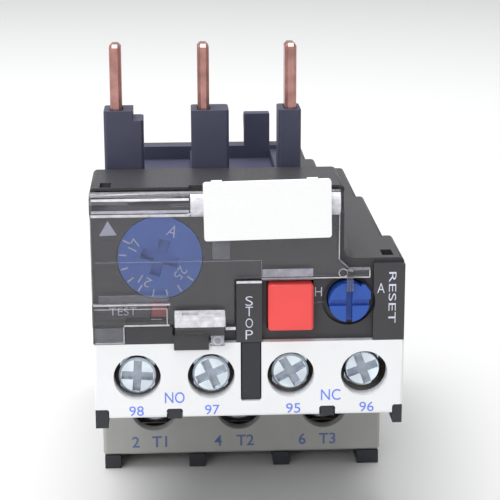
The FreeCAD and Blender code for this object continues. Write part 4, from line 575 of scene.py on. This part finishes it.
def cover_bands():
    """Painted highlights on the clear cover: bands, patches, streaks on the ridge, bright rims
    and rings.
    """

    def band(name, left, right, low, high, face, material):
        """A flat painted highlight band, from its edges in millimetres."""
        plate(name, box_outline(left * MM, right * MM, low * MM, high * MM), face,
              COVER_SKIN, material, "clear_cover")

    ridge_highlight_strip("ridge_highlight_upper", -22.0, -8.4, 51.05, 51.35, RIM_HIGHLIGHT)
    ridge_highlight_strip("ridge_highlight_middle", -22.0, -8.4, 49.3, 49.75, HIGHLIGHT_MILD)
    ridge_highlight_strip("ridge_highlight_lower", -22.1, -8.3, 48.55, 49.1, FROST_AND_HIGHLIGHT_BRIGHT)
    ridge_highlight_strip("ridge_highlight_right", -8.2, 12.8, 48.55, 51.8, FROST_AND_HIGHLIGHT_BRIGHT)
    band("cover_patch", -5.2, -2.7, 42.2, 44.9, PANE_FACE, HIGHLIGHT_FAINT)
    band("cover_strip", 1.9, 9.1, 39.45, 40.6, PANE_FACE, HIGHLIGHT_MILD)
    band("cover_strip_low", 1.9, 9.1, 38.95, 39.45, PANE_FACE, HIGHLIGHT_FAINT)
    band("cover_foot", -22.0, -17.9, 29.9, 32.2, PANE_FACE, HIGHLIGHT_FAINT)
    band("cover_speckle", -21.4, -11.5, 36.0, 37.0, PANE_FACE, HIGHLIGHT_FAINT)
    band("cover_leg", -5.5, -3.65, 29.75, 31.25, LUG_FACE, HIGHLIGHT_MILD)
    band("column_edge", -1.8, 1.8, 38.55, 38.9, PANE_FACE, FROST_AND_HIGHLIGHT_BRIGHT)
    band("cover_nub", -3.4, -1.95, 31.65, 32.1, PANE_FACE, FROST_AND_HIGHLIGHT_BRIGHT)
    for name, start, end, width, face, material in (
            ("rim_bottom", (1.8, 39.2), (17.2, 39.2), 0.16, PANE_FACE, RIM_HIGHLIGHT),
            ("rim_tab_end", (17.2, 39.2), (17.2, 40.3), 0.14, PANE_FACE, RIM_HIGHLIGHT),
            ("rim_tab_top", (17.2, 40.3), (14.4, 40.3), 0.14, PANE_FACE, RIM_HIGHLIGHT_FAINT),
            ("rim_corner", (14.4, 40.3), (12.8, 41.9), 0.14, PANE_FACE, RIM_HIGHLIGHT_FAINT),
            ("rim_side", (12.8, 41.9), (12.8, 48.4), 0.14, PANE_FACE, RIM_HIGHLIGHT),
            ("rim_step", (-21.7, 41.9), (1.75, 41.9), 0.09, PANE_FACE, RIM_HIGHLIGHT_FAINT),
            ("rim_step_side", (1.75, 41.9), (1.75, 39.3), 0.09, PANE_FACE, RIM_HIGHLIGHT_FAINT),
            ("rim_speckle", (-21.4, 37.0), (-15.7, 37.0), 0.09, PANE_FACE, RIM_HIGHLIGHT_FAINT),
            ("rim_window_top", (-22.1, 35.8), (-11.25, 35.8), 0.22, WINDOW_FACE, RIM_HIGHLIGHT),
            ("rim_window_inner", (-22.0, 35.2), (-11.7, 35.2), 0.10, WINDOW_FACE, RIM_HIGHLIGHT),
            ("rim_window_side", (-11.7, 35.2), (-11.7, 32.9), 0.12, WINDOW_FACE, RIM_HIGHLIGHT),
            ("rim_window_low", (-17.8, 32.75), (-11.4, 32.75), 0.24, WINDOW_FACE, RIM_HIGHLIGHT),
            ("rim_foot_side", (-17.9, 32.4), (-17.9, 29.9), 0.16, PANE_FACE, RIM_HIGHLIGHT),
            ("rim_foot_low", (-22.0, 29.95), (-17.9, 29.95), 0.16, PANE_FACE, RIM_HIGHLIGHT),
            ("rim_left", (-22.2, 32.8), (-22.2, 48.3), 0.12, PANE_FACE, RIM_HIGHLIGHT_FAINT)):
        cover_line(name, start, end, width, face, material)
    cover_ring("tab_ring", (13.4, 39.85), 0.6, 0.12, PANE_FACE, RIM_HIGHLIGHT)
    cover_ring("leg_ring", (-4.55, 30.5), 0.6, 0.14, LUG_FACE - COVER_SKIN, RIM_HIGHLIGHT)


def make_camera():
    """The camera of the photograph, above and a little left of the front."""
    pitch = math.radians(15.21)
    yaw = math.radians(2.8)
    roll = math.radians(0.17)
    focal_length = 115.85
    place = Vector((-10.57, -251.49, 103.04)) * MM
    forward = Vector((math.sin(yaw) * math.cos(pitch), math.cos(yaw) * math.cos(pitch),
                      -math.sin(pitch)))
    right = Vector((math.cos(yaw), -math.sin(yaw), 0))
    up = right.cross(forward)
    across = math.cos(roll) * right - math.sin(roll) * up
    upward = math.sin(roll) * right + math.cos(roll) * up
    data = bpy.data.cameras.new("camera")
    data.sensor_width = 36.0
    data.lens = focal_length
    data.clip_start = 0.01
    data.clip_end = 50.0
    camera = bpy.data.objects.new("camera", data)
    bpy.context.scene.collection.objects.link(camera)
    turn = Matrix((across, upward, -forward)).transposed().to_4x4()
    camera.matrix_world = Matrix.Translation(place) @ turn
    bpy.context.scene.camera = camera


def make_floor():
    """A pale table with painted light: it grows a little lighter towards the rear."""
    mesh = bpy.data.meshes.new("table")
    reach = 6.0
    mesh.from_pydata([(-reach, -reach, 0), (reach, -reach, 0), (reach, reach, 0),
                      (-reach, reach, 0)], [], [(0, 1, 2, 3)])
    table = bpy.data.objects.new("table", mesh)
    bpy.context.scene.collection.objects.link(table)
    tree = Nodes("table_top")
    split = tree.add("ShaderNodeSeparateXYZ")
    tree.link(tree.place, split.inputs["Vector"])
    # Painted light: the table's colour rises towards the rear.
    away = tree.range(split.outputs["Y"], 0.0, 1.0, start=-0.05, end=0.35)
    body = tree.principled(Roughness=0.55)
    tree.link(tree.blend(away, (0.66, 0.66, 0.655), (0.77, 0.77, 0.765)),
              body.inputs["Base Color"])
    mesh.materials.append(tree.finish(body.outputs[0]))


def make_light():
    """A white surround, a large soft light above and a weaker one in front."""
    world = bpy.data.worlds.new("surround")
    bpy.context.scene.world = world
    world.use_nodes = True
    tree = world.node_tree
    tree.nodes.clear()
    output = tree.nodes.new("ShaderNodeOutputWorld")
    seen = tree.nodes.new("ShaderNodeBackground")
    lighting = tree.nodes.new("ShaderNodeBackground")
    path = tree.nodes.new("ShaderNodeLightPath")
    mix = tree.nodes.new("ShaderNodeMixShader")
    seen.inputs["Color"].default_value = (0.955, 0.955, 0.945, 1.0)
    lighting.inputs["Color"].default_value = (0.97, 0.98, 1.0, 1.0)
    lighting.inputs["Strength"].default_value = 0.52
    tree.links.new(path.outputs["Is Camera Ray"], mix.inputs["Fac"])
    tree.links.new(lighting.outputs[0], mix.inputs[1])
    tree.links.new(seen.outputs[0], mix.inputs[2])
    tree.links.new(mix.outputs[0], output.inputs["Surface"])
    for name, place, size, power in (
            ("softbox_above", (-0.12, 0.05, 0.75), 0.7, 7.6),
            ("softbox_front", (-0.45, -0.75, 0.45), 0.6, 3.4)):
        lamp = bpy.data.lights.new(name, "AREA")
        lamp.shape = "SQUARE"
        lamp.size = size
        lamp.energy = power
        holder = bpy.data.objects.new(name, lamp)
        bpy.context.scene.collection.objects.link(holder)
        holder.location = place
        aim = Vector((0, 0, 0.03)) - Vector(place)
        holder.rotation_mode = "QUATERNION"
        holder.rotation_quaternion = aim.to_track_quat("-Z", "Y")


make_camera()
make_floor()
make_light()
dress_nodes()
dial_print()
face_print()
terminal_print()
recess_painted_shade()
cover_bands()
seal_eye()
bpy.context.scene.view_settings.view_transform = "Standard"
